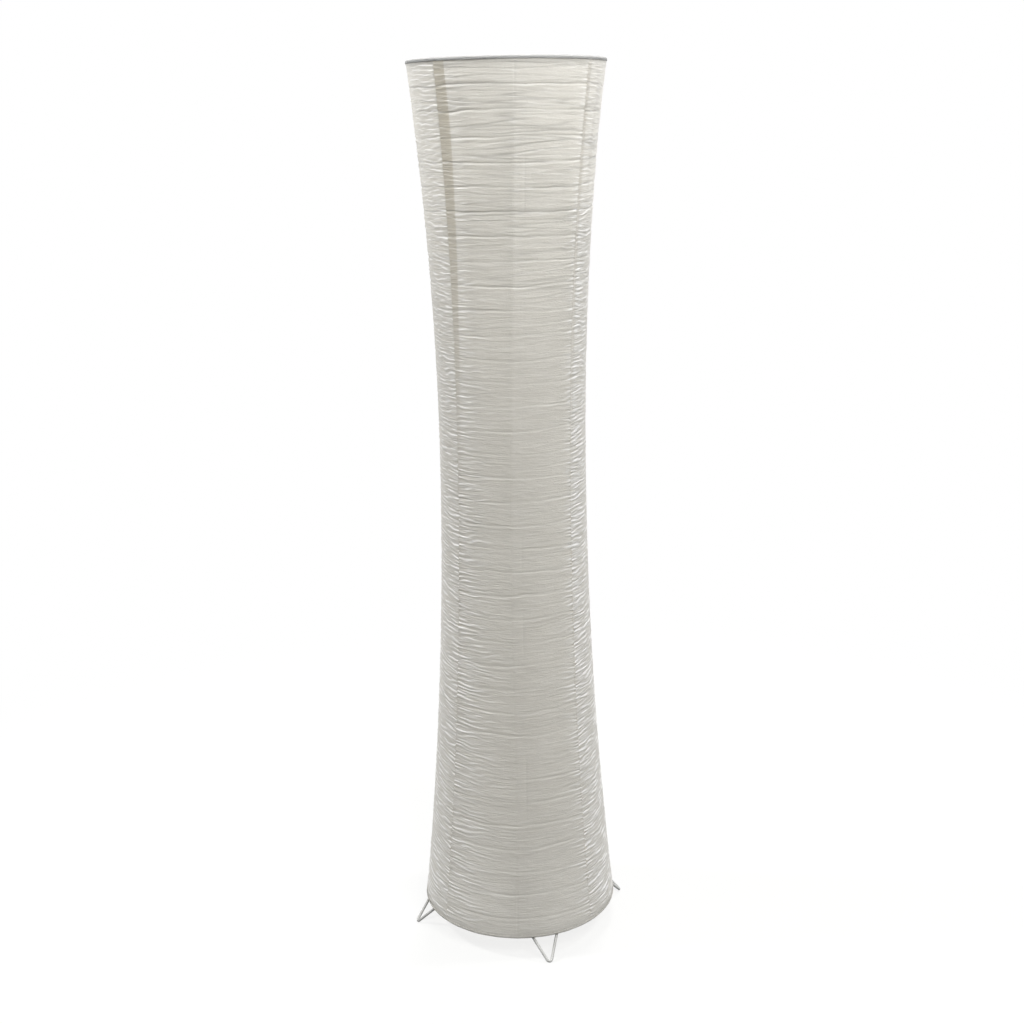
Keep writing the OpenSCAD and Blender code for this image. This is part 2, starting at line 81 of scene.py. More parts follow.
def make_camera():
    """Builds the camera's turn from its right, up and back directions, pitched and then rolled."""
    towards = -Vector((math.cos(CAMERA_ANGLE), math.sin(CAMERA_ANGLE), 0))
    forward = towards * math.cos(CAMERA_PITCH) - Vector((0, 0, math.sin(CAMERA_PITCH)))
    right = forward.cross(Vector((0, 0, 1))).normalized()
    up = right.cross(forward)
    c, s = math.cos(CAMERA_ROLL), math.sin(CAMERA_ROLL)
    turn = Matrix((right * c + up * s, up * c - right * s, -forward)).transposed()
    data = bpy.data.cameras.new("camera")
    data.sensor_width = SENSOR
    data.lens = FOCAL_PIXELS * SENSOR / IMAGE_WIDTH
    data.shift_x = (IMAGE_WIDTH / 2 - AXIS_PIXEL) / IMAGE_WIDTH
    data.clip_end = 100
    camera = bpy.data.objects.new("camera", data)
    camera.matrix_world = Matrix.Translation(around(0, CAMERA_DISTANCE, CAMERA_HEIGHT)) @ turn.to_4x4()
    scene.collection.objects.link(camera)
    scene.camera = camera
    return camera


print("lens:", round(make_camera().data.lens, 2), "mm")

# %% [markdown]
# ## Helpers for materials
# A material is a small tree of nodes. One function adds a node, sets its fields and links its inputs, so
# that each material below reads as a list of steps. Colours are written as the hex values that a paint
# program shows, and one function turns them to the linear values that the renderer wants.

# %% Colour and node helpers


def linear(hex_colour):
    """sRGB hex to linear RGBA: c / 12.92 below 0.04045, else ((c + 0.055) / 1.055) to the power 2.4."""
    srgb = [int(hex_colour[i:i + 2], 16) / 255 for i in (1, 3, 5)]
    return [c / 12.92 if c <= 0.04045 else ((c + 0.055) / 1.055) ** 2.4 for c in srgb] + [1.0]


def add(tree, kind, inputs=None, out=0, **fields):
    """Adds a node and gives one of its outputs. An input is a value, a hex colour or an output to link."""
    node = tree.nodes.new("ShaderNode" + kind)
    for name, value in fields.items():
        setattr(node, name, value)
    for key, value in (inputs or {}).items():
        if isinstance(value, bpy.types.NodeSocket):
            tree.links.new(value, node.inputs[key])
        else:
            node.inputs[key].default_value = linear(value) if isinstance(value, str) else value
    return node.outputs[out] if node.outputs else node


def empty_tree(owner):
    """The node tree of a material or a world, with nothing in it."""
    owner.use_nodes = True
    owner.node_tree.nodes.clear()
    return owner.node_tree


def object_noise(tree, size_mm, stretch=(1, 1, 1), detail=3, distortion=0.0):
    """Noise on the object's own coordinates, with features of a real size in millimetres."""
    place = add(tree, "TexCoord", out="Object")
    scaled = add(tree, "Mapping", {"Vector": place, "Scale": stretch})
    return add(tree, "TexNoise", {
        "Vector": scaled, "Scale": 1000 / size_mm, "Detail": detail, "Distortion": distortion})


def spread(tree, value, low, high):
    """Maps a value from 0.3 .. 0.7, where noise mostly lies, to low .. high."""
    return add(tree, "MapRange", {
        "Value": value, "From Min": 0.3, "From Max": 0.7, "To Min": low, "To Max": high})


def layered(tree, ground, *layers):
    """Lays colours over a ground one after the other, each as far as its mask says."""
    for mask, colour in layers:
        ground = add(tree, "Mix", {0: mask, 6: ground, 7: colour}, 2, data_type="RGBA")
    return ground


print("white in linear:", linear("#ffffff")[:3])

# %% [markdown]
# ## The paper
# The sleeve is thin white lantern paper that was wetted, crumpled and stretched, so it keeps a relief of
# fine creases. The pressed side has a satin shine, and it lets light through: where light falls in by the
# open top, the paper glows a little. So the shader is a mix of a surface that reflects and one that
# passes light on. The creases that are too fine for the mesh are drawn by a bump, which reads the sheet's
# own map: its first axis runs round the sleeve and its second up, both in metres.

# %% Paper materials
FINE_CREASE = 0.00012
# The strokes beside a seam: pitch and length in mm, bump height, and how much painted highlight they get.
STROKE_PITCH_MM, STROKE_LENGTH_MM, STROKE_HEIGHT, STROKE_HIGHLIGHT = 5.0, 60, 1.6, 0.45
# Painted shade: the colours that creases and valleys take on the face and in the glow, and how much shows on
# the face.
SHADED_CREASE_FACE, SHADED_CREASE_GLOW, CREASE_ON_FACE = "#b9b5aa", "#6f6a60", 0.25
# The white of the painted highlight on crests and strokes, and the colour of the glue's stain.
CREST_HIGHLIGHT, GLUE = "#ffffff", "#dad5c8"
GLOW_LIGHT, GLOW_DARK = "#eae6dc", "#dfdacf"
EDGE_BLUR = 0.0004


def sheet_creases(tree, round_mm, up_mm, sharpness, detail, distortion):
    """Creases of one length round the sleeve and one pitch up it, on the sheet's own map: crests where
    noise crosses its middle, which is 1 - sharpness * |noise - 0.5|, and zero below."""
    place = add(tree, "UVMap", uv_map="sheet")
    scaled = add(tree, "Mapping", {"Vector": place, "Scale": (1000 / round_mm, 1000 / up_mm, 1)})
    noise = add(tree, "TexNoise", {
        "Vector": scaled, "Scale": 1.0, "Detail": detail, "Distortion": distortion}, noise_dimensions="2D")
    off = add(tree, "Math", {0: noise, 1: 0.5}, operation="SUBTRACT")
    off = add(tree, "Math", {0: off}, operation="ABSOLUTE")
    return add(tree, "Math", {0: off, 1: -sharpness, 2: 1.0}, operation="MULTIPLY_ADD", use_clamp=True)


def paper_material(name, light, dark, through, roughness, coat=0.3):
    """Fibrous paper. Clouds of 30 mm and fibres of 2 mm shade its colour, and fine creases bend the light.
    The piece's own attributes mark the rest. The crease mark is painted shade in the folds and valleys,
    partly also the denser paper of a pressed fold, so it darkens the face a little and the glow a lot. The
    crest mark is a painted highlight that whitens the crests and the narrow crepe faces, and the long
    strokes beside a seam are bumped and get a painted highlight too. Where past_lap, in metres, is below
    zero, the glue shows."""
    material = bpy.data.materials.new(name)
    tree = empty_tree(material)
    clouds, fibres = object_noise(tree, 30, (1, 1, 1.6), 4), object_noise(tree, 2.2, (1, 1, 2.5), 5, 0.4)
    tone = add(tree, "Math", {0: clouds, 1: fibres}, operation="ADD")
    shade = spread(tree, add(tree, "Math", {0: tone, 1: 0.5}, operation="MULTIPLY"), 0, 1)
    past_lap, glue_shown, crease, crest, beside_seam = [
        add(tree, "Attribute", out="Fac", attribute_name=mark)
        for mark in ("past_lap", "glue_shown", "crease", "crest", "beside_seam")]
    on_lap = add(tree, "MapRange", {
        "Value": past_lap, "From Min": -EDGE_BLUR, "From Max": EDGE_BLUR, "To Min": 1.0, "To Max": 0.0})
    glued = add(tree, "Math", {0: on_lap, 1: glue_shown}, operation="MULTIPLY")
    # Painted shade on the face, in the folds and valleys.
    pressed = add(tree, "Math", {0: crease, 1: CREASE_ON_FACE}, operation="MULTIPLY")
    strokes = sheet_creases(tree, STROKE_LENGTH_MM, STROKE_PITCH_MM, 9.0, 1, 0.0)
    strokes = add(tree, "Math", {0: strokes, 1: beside_seam}, operation="MULTIPLY")
    # Painted highlight on the strokes.
    stroke_highlight = add(tree, "Math", {0: strokes, 1: STROKE_HIGHLIGHT}, operation="MULTIPLY")
    colour = layered(tree, dark, (shade, light), (glued, GLUE), (pressed, SHADED_CREASE_FACE), (crest, CREST_HIGHLIGHT),
                     (stroke_highlight, CREST_HIGHLIGHT))
    glow = layered(tree, GLOW_DARK, (shade, GLOW_LIGHT), (glued, GLUE), (crease, SHADED_CREASE_GLOW))
    long_creases = sheet_creases(tree, 26, 2.4, 7.0, 3, 0.3)
    short_creases = sheet_creases(tree, 9, 2.8, 7.0, 2, 0.6)
    height = add(tree, "Math", {0: short_creases, 1: 0.5, 2: long_creases}, operation="MULTIPLY_ADD")
    height = add(tree, "Math", {0: strokes, 1: STROKE_HEIGHT, 2: height}, operation="MULTIPLY_ADD")
    bump = add(tree, "Bump", {"Height": height, "Strength": 1.0, "Distance": FINE_CREASE})
    face = add(tree, "BsdfPrincipled", {
        "Base Color": colour, "Roughness": roughness, "IOR": 1.5, "Specular IOR Level": 0.5,
        "Coat Weight": coat, "Coat Roughness": 0.2, "Normal": bump})
    back = add(tree, "BsdfTranslucent", {"Color": glow, "Normal": bump})
    add(tree, "OutputMaterial", {"Surface": add(tree, "MixShader", {0: through, 1: face, 2: back})})
    return material


# The sleeve is one layer, pressed to a satin shine, and it glows where light falls in.
lantern_paper = paper_material("crinkled_lantern_paper", "#e7e5df", "#dddbd4", 0.27, 0.30)
# The strips are matt, and browned by the glue that soaked them.
strip_paper = paper_material("glued_paper_strip", "#dcd8cd", "#d2cdc0", 0.40, 0.6)
# The top hem is a roll of several layers, so it hardly glows and has no shine; its grey is painted shade.
shaded_top_hem_paper = paper_material("shaded_paper_hem", "#c2c2c0", "#b4b4b2", 0.05, 0.6, coat=0.0)
# The lower hem is like the sleeve.
lower_hem_paper = paper_material("lower_paper_hem", "#e7e5df", "#dddbd4", 0.25, 0.30)
print("papers:", [material.name for material in bpy.data.materials if "paper" in material.name])

# %% [markdown]
# ## Grids and noise
# Every new piece is a surface over two parameters, worked out on a whole numpy grid at once. The noise
# that crumples the paper is gradient noise: each corner of a lattice holds a random direction, and a
# point takes a smooth mix of how far it lies along the four directions round it.


def wave_noise(x, y, seed):
    """Gradient noise: the dot products with the four lattice directions, mixed by 6t^5 - 15t^4 + 10t^3."""
    x0, y0 = np.floor(x).astype(int), np.floor(y).astype(int)
    low_x, low_y = x0.min(), y0.min()
    shape = (x0.max() - low_x + 2, y0.max() - low_y + 2)
    angle = np.random.default_rng(seed).random(shape) * 2 * np.pi
    fx, fy = x - x0, y - y0
    mix_x, mix_y = (f ** 3 * (f * (f * 6 - 15) + 10) for f in (fx, fy))

    def corner(dx, dy):
        a = angle[x0 - low_x + dx, y0 - low_y + dy]
        return np.cos(a) * (fx - dx) + np.sin(a) * (fy - dy)

    low = corner(0, 0) * (1 - mix_x) + corner(1, 0) * mix_x
    high = corner(0, 1) * (1 - mix_x) + corner(1, 1) * mix_x
    return 1.4 * (low * (1 - mix_y) + high * mix_y)


def smooth_step(low, high, x):
    """3t^2 - 2t^3 of the share t that x has between low and high."""
    t = np.clip((x - low) / (high - low), 0, 1)
    return t * t * (3 - 2 * t)


def grid_object(name, points, close_u=False, close_v=False, flip=False):
    """A smooth-shaded mesh from an array of points (u, v, 3), joined end to end where it is closed."""
    nu, nv = points.shape[:2]
    index = np.arange(nu * nv).reshape(nu, nv)
    if close_u:
        index = np.concatenate([index, index[:1]])
    if close_v:
        index = np.concatenate([index, index[:, :1]], axis=1)
    quads = np.stack([index[:-1, :-1], index[1:, :-1], index[1:, 1:], index[:-1, 1:]], axis=-1).reshape(-1, 4)
    if flip:
        quads = quads[:, ::-1]
    mesh = bpy.data.meshes.new(name)
    mesh.vertices.add(nu * nv)
    mesh.vertices.foreach_set("co", points.astype(np.float32).ravel())
    mesh.loops.add(quads.size)
    mesh.loops.foreach_set("vertex_index", quads.astype(np.int32).ravel())
    mesh.polygons.add(len(quads))
    mesh.polygons.foreach_set("loop_start", np.arange(0, quads.size, 4, dtype=np.int32))
    mesh.polygons.foreach_set("use_smooth", np.ones(len(quads), bool))
    mesh.update(calc_edges=True)
    mesh.validate()
    piece = bpy.data.objects.new(name, mesh)
    scene.collection.objects.link(piece)
    return piece


def dress(piece, material, slot, body, *nodes):
    """Gives a piece its material, the body it moves with and the CAD nodes it stands for. The slot is not
    used.
    """
    piece.data.materials.append(material)
    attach(piece, body)
    if nodes:
        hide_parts(*nodes)
    print(f"{piece.name}: {len(piece.data.polygons)} faces on {body}")
    return piece


def paint(piece, **marks):
    """Writes one number per vertex into each named attribute, which a material can read."""
    for name, values in marks.items():
        layer = piece.data.attributes.new(name, "FLOAT", "POINT")
        layer.data.foreach_set("value", values.astype(np.float32).ravel())


# %% [markdown]
# ## The shape of the sleeve
# Seen from the side the sleeve is drawn in to a waist, and each half of its outline is a parabola. It is
# glued up from four gores, and each gore has one pressed fold down its middle, so that the sleeve has
# eight panels. Between the round hoops the panels are pulled a little flat. The whole sleeve is also
# twisted by a few degrees, as a soft sleeve on its frame always is.

# %% Sleeve outline
rim_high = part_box("top_binding")[1]
hem_low, hem_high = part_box("bottom_binding")
TOP_Z, TOP_R = rim_high.z, rim_high.x
HEM_Z, HEM_R = hem_low.z, hem_high.x
WAIST_Z, WAIST_R = 0.637, 0.0885
GORE_NAMES = ["front", "right", "back", "left"]
GORE_STARTS = [-107.0, -10.0, 77.667, 165.333]
GORE_SPANS = [97.0, 87.667, 87.667, 87.667]
TWIST = 6.5
FLATNESS, ROUND_LOW, ROUND_HIGH = 0.24, 0.12, 0.09  # share, and how far the hoops keep the ends round
FOLD_DRIFT, DRIFT_Z, DRIFT_REACH = 3.4, 0.55, 0.25
FOLD_EDGE, FOLD_REACH = 0.0008, 0.014


def sleeve_radius(z):
    """Two parabolas that meet at the waist: waist + (rim - waist) times the squared share of the way."""
    below = WAIST_R + (HEM_R - WAIST_R) * ((WAIST_Z - z) / (WAIST_Z - HEM_Z)) ** 2
    above = WAIST_R + (TOP_R - WAIST_R) * ((z - WAIST_Z) / (TOP_Z - WAIST_Z)) ** 2
    return np.where(z < WAIST_Z, below, above)


def twisted(z):
    """The sleeve's twist in degrees: from -TWIST/2 at the lower hem to TWIST/2 at the rim."""
    return TWIST * ((z - HEM_Z) / (TOP_Z - HEM_Z) - 0.5)


def fold_turn(z, span):
    """A gore's pressed fold, in degrees from its first edge: the middle, less a bell-shaped drift."""
    return span / 2 - FOLD_DRIFT * np.exp(-((z - DRIFT_Z) / DRIFT_REACH) ** 2)


def panel_radius(turn, z, span):
    """The round radius, drawn part of the way to the flat chord of its panel, with an edge at the fold."""
    fold = fold_turn(z, span)
    width = np.where(turn < fold, fold, span - fold)
    off = np.where(turn < fold, turn, turn - fold) - width / 2
    chord = np.cos(np.radians(width / 2)) / np.cos(np.radians(off))
    ease = smooth_step(0, ROUND_LOW, z - HEM_Z) * smooth_step(0, ROUND_HIGH, TOP_Z - z)
    round_radius = sleeve_radius(z)
    from_fold = np.abs(np.radians(turn - fold)) * round_radius
    edge = FOLD_EDGE * (np.exp(-from_fold / FOLD_REACH) - 0.4)
    return round_radius * (1 - FLATNESS * ease * (1 - chord)) + edge * ease


shown_at = HEM_Z, 0.3, WAIST_Z, 0.9, TOP_Z
print("sleeve radii, mm:", [round(float(sleeve_radius(z)) * 1000, 1) for z in shown_at])

# %% [markdown]
# ## Folds and creases
# The sleeve is packed flat like a concertina, which leaves 36 folds across it, a little closer together
# at the top. Between them the crumpled paper has many finer creases. They run round the sleeve, wander,
# fork and end. Ridged noise gives that: where smooth noise crosses zero, one minus its size is a sharp
# ridge. Stretching the noise some fifteen times along the sleeve's girth makes the ridges run round it.
# Beside the seams the paper was gathered as it was glued, so it lies in small crepe steps. Going up, a
# step rises slowly and drops fast, and light from above catches the narrow face of the drop. The folds
# and valleys also get painted shade, and the crests and those narrow faces a painted highlight.

# %% Relief of the paper
FOLDS = 36
FIRST_FOLD, LAST_FOLD = 0.030, 0.025
FOLD_GROWTH = 1.14
FOLD_WIDTH = 0.0013
SHALLOW_FOLD, DEEP_FOLD = 0.00030, 0.00090
CREASE_HEIGHT, PILLOW_HEIGHT = 0.00085, 0.00022
CREPE_PITCH, CREPE_RISE = 0.0056, 0.74
# The kinds of ridge: length round the sleeve and pitch up it in metres, added to the seed, and sharpness.
VALLEYS, MIDDLE = (0.120, 0.0066, 4, 3.6), (0.070, 0.0054, 5, 3.8)
FINER, CROSSING = (0.030, 0.0046, 10, 3.0), (0.060, 0.034, 7, 6.0)


def ring_noise(angle, cells, other, seed):
    """Wave noise without a seam: it is read along a ring of that many cells, which moves as other grows."""
    radius = cells / (2 * np.pi)
    return wave_noise(radius * np.cos(angle) + other, radius * np.sin(angle) + 0.37 * other, seed)


def fold_phase(z):
    """Counts the folds from the top down: the spacing grows evenly, so the count solves a quadratic."""
    span = TOP_Z - HEM_Z - FIRST_FOLD - LAST_FOLD
    pitch = 2 * span / ((FOLDS - 1) * (1 + FOLD_GROWTH))
    step = pitch * (FOLD_GROWTH - 1) / (FOLDS - 1)
    down = TOP_Z - FIRST_FOLD - z
    return (np.sqrt(np.maximum(pitch ** 2 + 2 * step * down, 0)) - pitch) / step, pitch


def ridges(x, y, kind, seed):
    """Sharp crests where noise crosses zero: one minus some times its size, to the power 1.6."""
    length, pitch, place, sharpness = kind
    return np.maximum(1 - sharpness * np.abs(wave_noise(x / length, y / pitch, seed + place)), 0) ** 1.6


def crepe_steps(angle, x, z, seed):
    """Small steps across the sheet, which begin and end. Going up, each one rises over three quarters of
    its pitch and drops over the rest, so its narrow upper face catches the light. Returns the height from
    -0.5 to 0.5 and a mask of the narrow faces, where a highlight is painted."""
    bend = 0.0050 * ring_noise(angle, 12, z / 0.030, 7) + 0.0022 * wave_noise(x / 0.018, z / 0.012, seed + 6)
    share = (z + bend) / CREPE_PITCH % 1
    height = np.where(share < CREPE_RISE, share / CREPE_RISE, (1 - share) / (1 - CREPE_RISE))
    shown = smooth_step(-0.28, 0.30, ring_noise(angle, 26, z / 0.0085, 8))
    face = np.exp(-((share - (1 + CREPE_RISE) / 2) / (0.5 - CREPE_RISE / 2)) ** 2)
    return (height - 0.5) * shown, face * shown


def paper_relief(angle, x, z, seed, near):
    """How far the paper stands out, in metres, the painted shade of its folds and valleys, and the painted
    highlight of its crests. The folds follow the angle, so that they run on over the seams. x is the distance
    from the gore's middle, z the height, and near goes from 0 to 1 at a seam. Long valleys fill the upper
    part, and crepe steps and short sharp crests the paper near the seams."""
    high = smooth_step(0.72, 0.95, z)
    wander = 0.0030 * ring_noise(angle, 7, z / 0.050, 5) + 0.0009 * wave_noise(x / 0.020, z / 0.014, seed + 1)
    count, pitch = fold_phase(z + wander)
    nearest = np.clip(np.round(count), 0, FOLDS - 1)
    off = (count - nearest) * pitch
    strength = 0.35 + 0.9 * np.clip(ring_noise(angle, 8, nearest * 3.7, 6) + 0.45, 0, 1)
    depth = (SHALLOW_FOLD + (DEEP_FOLD - SHALLOW_FOLD) * high) * strength
    fold = -depth * np.exp(-(off / FOLD_WIDTH) ** 2)
    lip = 0.30 * depth * np.exp(-((off - 2.0 * FOLD_WIDTH) / FOLD_WIDTH) ** 2)
    crumpled = z + 0.8 * wander
    patches = 0.45 + 0.55 * smooth_step(-0.30, 0.35, wave_noise(x / 0.110, z / 0.024, seed + 3))
    valleys = ridges(x, crumpled, VALLEYS, seed) * patches * (0.22 + 0.78 * high) * (1 - 0.5 * near)
    calm = 0.15 + 0.85 * smooth_step(-0.30, 0.25, wave_noise(x / 0.055, z / 0.0080, seed + 9))
    middle = ridges(x, crumpled, MIDDLE, seed) * calm * (0.45 + 0.55 * high)
    crepe, crests = (part * (0.08 + 0.92 * near) for part in crepe_steps(angle, x, z, seed))
    finer = ridges(x, crumpled, FINER, seed) * (0.10 + 0.90 * near)
    crossing = ridges(x + 0.9 * z, crumpled + 0.30 * x, CROSSING, seed)
    fine = -0.50 * valleys + 0.50 * middle + 1.10 * crepe + 0.25 * finer + 0.16 * crossing
    pillow = wave_noise(x / 0.060, z / 0.020, seed + 8)
    folded = strength * np.exp(-(off / (0.7 * FOLD_WIDTH)) ** 2) * (0.25 + 0.75 * high)
    # Painted shade in the folds and valleys, and a painted highlight on the narrow crepe faces and the sharp
    # crests.
    dark = np.clip(0.8 * folded + 0.8 * valleys, 0, 1)
    light = np.clip(1.1 * crests + 0.25 * finer ** 2 + 0.25 * middle ** 2, 0, 1)
    return fold + lip + CREASE_HEIGHT * fine + PILLOW_HEIGHT * pillow, dark, light


print("the first two folds are", round(fold_phase(TOP_Z)[1] * 1000, 1), "mm apart")

# %% [markdown]
# ## The four gores
# Each gore is one sheet, cut as a long strip that is narrow at the waist. It is a single surface and not
# a thin slab, because the paper shader passes light through one face. Rows lie two thirds of a millimetre
# apart, so that creases of four or five millimetres have a true shape.

# %% Gores
ROW_PITCH = 0.00068
COLUMN_COUNT = 49
SHEET_TOP, SHEET_BOTTOM = TOP_Z - 0.0030, HEM_Z + 0.0036
HOOP_REACH = 0.006
FOLD_LINE, FOLD_PRESS, SECOND_PRESS, SECOND_PLACE = 0.0012, 0.00020, 0.00016, 0.012
PAPER_INSET, STRIP_BEHIND = 0.0003, 0.0007
LAP_LOW = 0.0045
# One value for each gore: how far the steps reach from its two edges, how bold they are and how much calmer
# they get at the top, how wide its glued lap is at the rim, and how much of the glue shows there.
SEAM_REACH = [(0.024, 0.008), (0.080, 0.030), (0.030, 0.030), (0.030, 0.080)]
STROKE_BOLD = [1.0, 1.4, 1.0, 1.15]
CALM_TOP = [0.0, 0.6, 0.2, 0.0]
LAP_HIGH = [0.015, 0.005, 0.010, 0.010]
GLUE_SHOWN = [1.0, 0.1, 0.7, 0.7]


def sheet_heights(bottom, top):
    """Rows from bottom to top, closer than a millimetre."""
    return np.linspace(bottom, top, 2 + int((top - bottom) / (ROW_PITCH * 1)))


def lap_width(number, z):
    """The glued lap beside a seam: widest at the rim, narrowing to 4.5 mm at the waist and below."""
    return LAP_LOW + (LAP_HIGH[number] - LAP_LOW) * smooth_step(WAIST_Z - 0.02, TOP_Z - 0.02, z)


def gore_points(number, turn, z, behind=0.0):
    """Points of a gore: the panelled outline plus the relief, which is strongest beside the seams, flatter on
    a glued lap and gone at the hoops. Also the panel's radius, the painted shade, the painted highlight and
    the mark beside a seam."""
    span = GORE_SPANS[number]
    radius = panel_radius(turn, z, span)
    turns = turn, span - turn, turn - fold_turn(z, span)
    from_start, from_end, from_fold = (np.radians(t) * radius for t in turns)
    angle = np.radians(GORE_STARTS[number] + turn + twisted(z))
    low = 1 - smooth_step(0.30, 0.62, z)
    reach = np.array(SEAM_REACH[number])[:, None, None] * (1 + 0.8 * low)
    reach = reach * (1 + 0.7 * wave_noise(z / 0.007, 0 * z, 100 * number + 5))
    near = np.clip(np.exp(-(from_start / reach[0]) ** 2) + np.exp(-(from_end / reach[1]) ** 2), 0, 1)
    near *= STROKE_BOLD[number] * (1 - CALM_TOP[number] * smooth_step(0.82, 0.98, z))
    across = np.radians(turn - span / 2) * radius
    relief, dark, light = paper_relief(angle, across, z, 100 * (number + 1), near)
    hoops = smooth_step(0, HOOP_REACH, z - SHEET_BOTTOM) * smooth_step(0, HOOP_REACH, SHEET_TOP - z)
    lap = lap_width(number, z)
    off_lap = smooth_step(lap - 0.002, lap + 0.002, from_start) * smooth_step(0, 0.003, from_end)
    glued = 1 - 0.65 * smooth_step(0.50, 0.80, z) * (1 - off_lap)
    second = smooth_step(-0.1, 0.4, wave_noise(z / 0.09, 0 * z, 100 * number + 3))
    pressed = -FOLD_PRESS * np.exp(-(from_fold / FOLD_LINE) ** 2)
    pressed -= SECOND_PRESS * second * np.exp(-((from_fold - SECOND_PLACE) / FOLD_LINE) ** 2)
    r = radius - PAPER_INSET - behind + hoops * (relief * glued + pressed)
    points = np.stack([r * np.cos(angle), r * np.sin(angle), z], axis=-1)
    return points, radius, dark * hoops, light * hoops * glued, near * hoops * glued ** 2


def gore_grid(number):
    """The turn and height of each point. The columns are even, with closer ones at the pressed fold (0.5),
    at the line beside it and at both seams. The middle column follows the drifting fold."""
    span = GORE_SPANS[number]
    even = np.linspace(0, 1, COLUMN_COUNT)
    lines = [0.5 + d for d in (-0.012, -0.006, -0.003, 0.003, 0.006, 0.012, 0.067, 0.073, 0.079)]
    columns = np.sort(np.concatenate([even, lines, [0.005, 0.012, 0.988, 0.995]]))
    u, z = np.meshgrid(columns, sheet_heights(SHEET_BOTTOM, SHEET_TOP), indexing="ij")
    fold = fold_turn(z, span)
    return np.where(u < 0.5, 2 * u * fold, fold + (2 * u - 1) * (span - fold)), z


def add_map(piece, across, up):
    """A UV map in metres, so that the material's creases follow the sheet."""
    corners = np.empty(len(piece.data.loops), np.int32)
    piece.data.loops.foreach_get("vertex_index", corners)
    layer = piece.data.uv_layers.new(name="sheet")
    both = np.stack([across.ravel(), up.ravel()], axis=-1)[corners]
    layer.data.foreach_set("uv", both.astype(np.float32).ravel())


def seam_strip(number):
    """The strip glued behind a gore's first edge: the gore's own surface, moved inwards."""
    heights = sheet_heights(SHEET_BOTTOM + 0.004, SHEET_TOP - 0.004)
    share, z = np.meshgrid(np.linspace(0, 1, 9), heights, indexing="ij")
    across = -0.0015 + (lap_width(number, z) + 0.0015) * share
    turn = np.degrees(across / sleeve_radius(z))
    piece = grid_object("seam_strip_" + GORE_NAMES[number], gore_points(number, turn, z, STRIP_BEHIND)[0])
    add_map(piece, across, z)
    return dress(piece, strip_paper, "seam_paper", "shade", "seam_strips")


def gore(number):
    """One gore, with its map, its marks and its seam strip."""
    name, span = GORE_NAMES[number], GORE_SPANS[number]
    turn, z = gore_grid(number)
    points, radius, dark, light, near = gore_points(number, turn, z)
    piece = grid_object("paper_" + name, points)
    # The crease mark carries the painted shade, and the crest mark the painted highlight.
    paint(piece, past_lap=np.radians(turn) * radius - lap_width(number, z),
          glue_shown=GLUE_SHOWN[number] * smooth_step(WAIST_Z - 0.05, TOP_Z - 0.1, z),
          crease=dark, crest=light, beside_seam=near)
    add_map(piece, np.radians(turn - span / 2) * radius, z)
    dress(piece, lantern_paper, "crinkled_paper", "shade", "paper_gore_" + name)
    strip = seam_strip(number)


for number in range(4):
    gore(number)

# %% [markdown]
# ## The turned hems
# At each end the paper is turned round the hoop's wire and glued down on the inside, by hand, so the roll
# is a little uneven. The roll is a profile carried round the lamp: up the inside as a flap, in a half
# circle round the wire, and straight down outside as a short skirt over the edge of the gores.

# %% Hems
ROLL_R, HEM_PAPER = 0.00205, 0.00035
FLAP, FLAP_LEAN, SKIRT = 0.0022, 0.0006, 0.0016
WAVE, RIPPLE = 0.00022, 0.00012
# The middle of each hoop's wire, as its radius and height.
TOP_HOOP, LOWER_HOOP = (0.11165, 1.06795), (0.12095, 0.02865)


def hem(name, hoop_r, hoop_z, way, material, node):
    """A closed profile of two lines one paper apart: a flap, a half circle and a skirt. Broad waves and fine
    ripples along the girth swell it away from the wire, most on the outer line."""
    arc, flap = np.linspace(np.pi, 0, 18), np.linspace(1, 0.12, 8)
    skirt = np.linspace(0.15, 1, 6) * SKIRT
    lean = (float(sleeve_radius(hoop_z - way * FLAP)) - float(sleeve_radius(hoop_z))) / FLAP

    def line(radius):
        """Distances outwards and upwards from the middle of the wire."""
        out = [(lean * FLAP + FLAP_LEAN) * flap - radius, radius * np.cos(arc), radius + lean * skirt]
        up = [-FLAP * flap, radius * np.sin(arc), -skirt]
        return np.stack([np.concatenate(out), way * np.concatenate(up)])

    out, up = np.concatenate([line(ROLL_R), line(ROLL_R - HEM_PAPER)[:, ::-1]], axis=1)
    turns = np.linspace(0, 2 * np.pi, 720 // (1), endpoint=False)
    angle, along = np.meshgrid(turns, np.arange(len(out)), indexing="ij")
    uneven = WAVE * ring_noise(angle, 90, along / 2.0, 11) + RIPPLE * ring_noise(angle, 260, along, 12)
    length = np.hypot(out, up)
    swell = 1 + uneven * smooth_step(0.5, 1.0, length / ROLL_R) / length
    r, z = hoop_r + out * swell, hoop_z + up * swell
    points = np.stack([r * np.cos(angle), r * np.sin(angle), z], axis=-1)
    piece = grid_object(name, points, True, True, way > 0)
    add_map(piece, angle * hoop_r, along * 0.0008)
    dress(piece, material, "paper_hem", "shade", node)


hem("top_hem", *TOP_HOOP, 1, shaded_top_hem_paper, "top_binding")
hem("bottom_hem", *LOWER_HOOP, -1, lower_hem_paper, "bottom_binding")

# %% [markdown]
# ## Finishes of the fittings
# Inside the sleeve are steel wire with a powder coat, bright threaded steel, a moulded plastic lampholder
# with brass inside it, and the bulb. Each finish is the same small recipe: broad patches shade the colour, a
# middle-sized pattern varies the gloss, and a grain of its real size bends the light. What makes them look
# different is the size and the stretch of that grain: a powder coat has the skin of an orange, a drawn
# metal has lines along its length, and moulded plastic has the sparkle of a spark-eroded tool.

# %% Hard materials
MM = 0.001


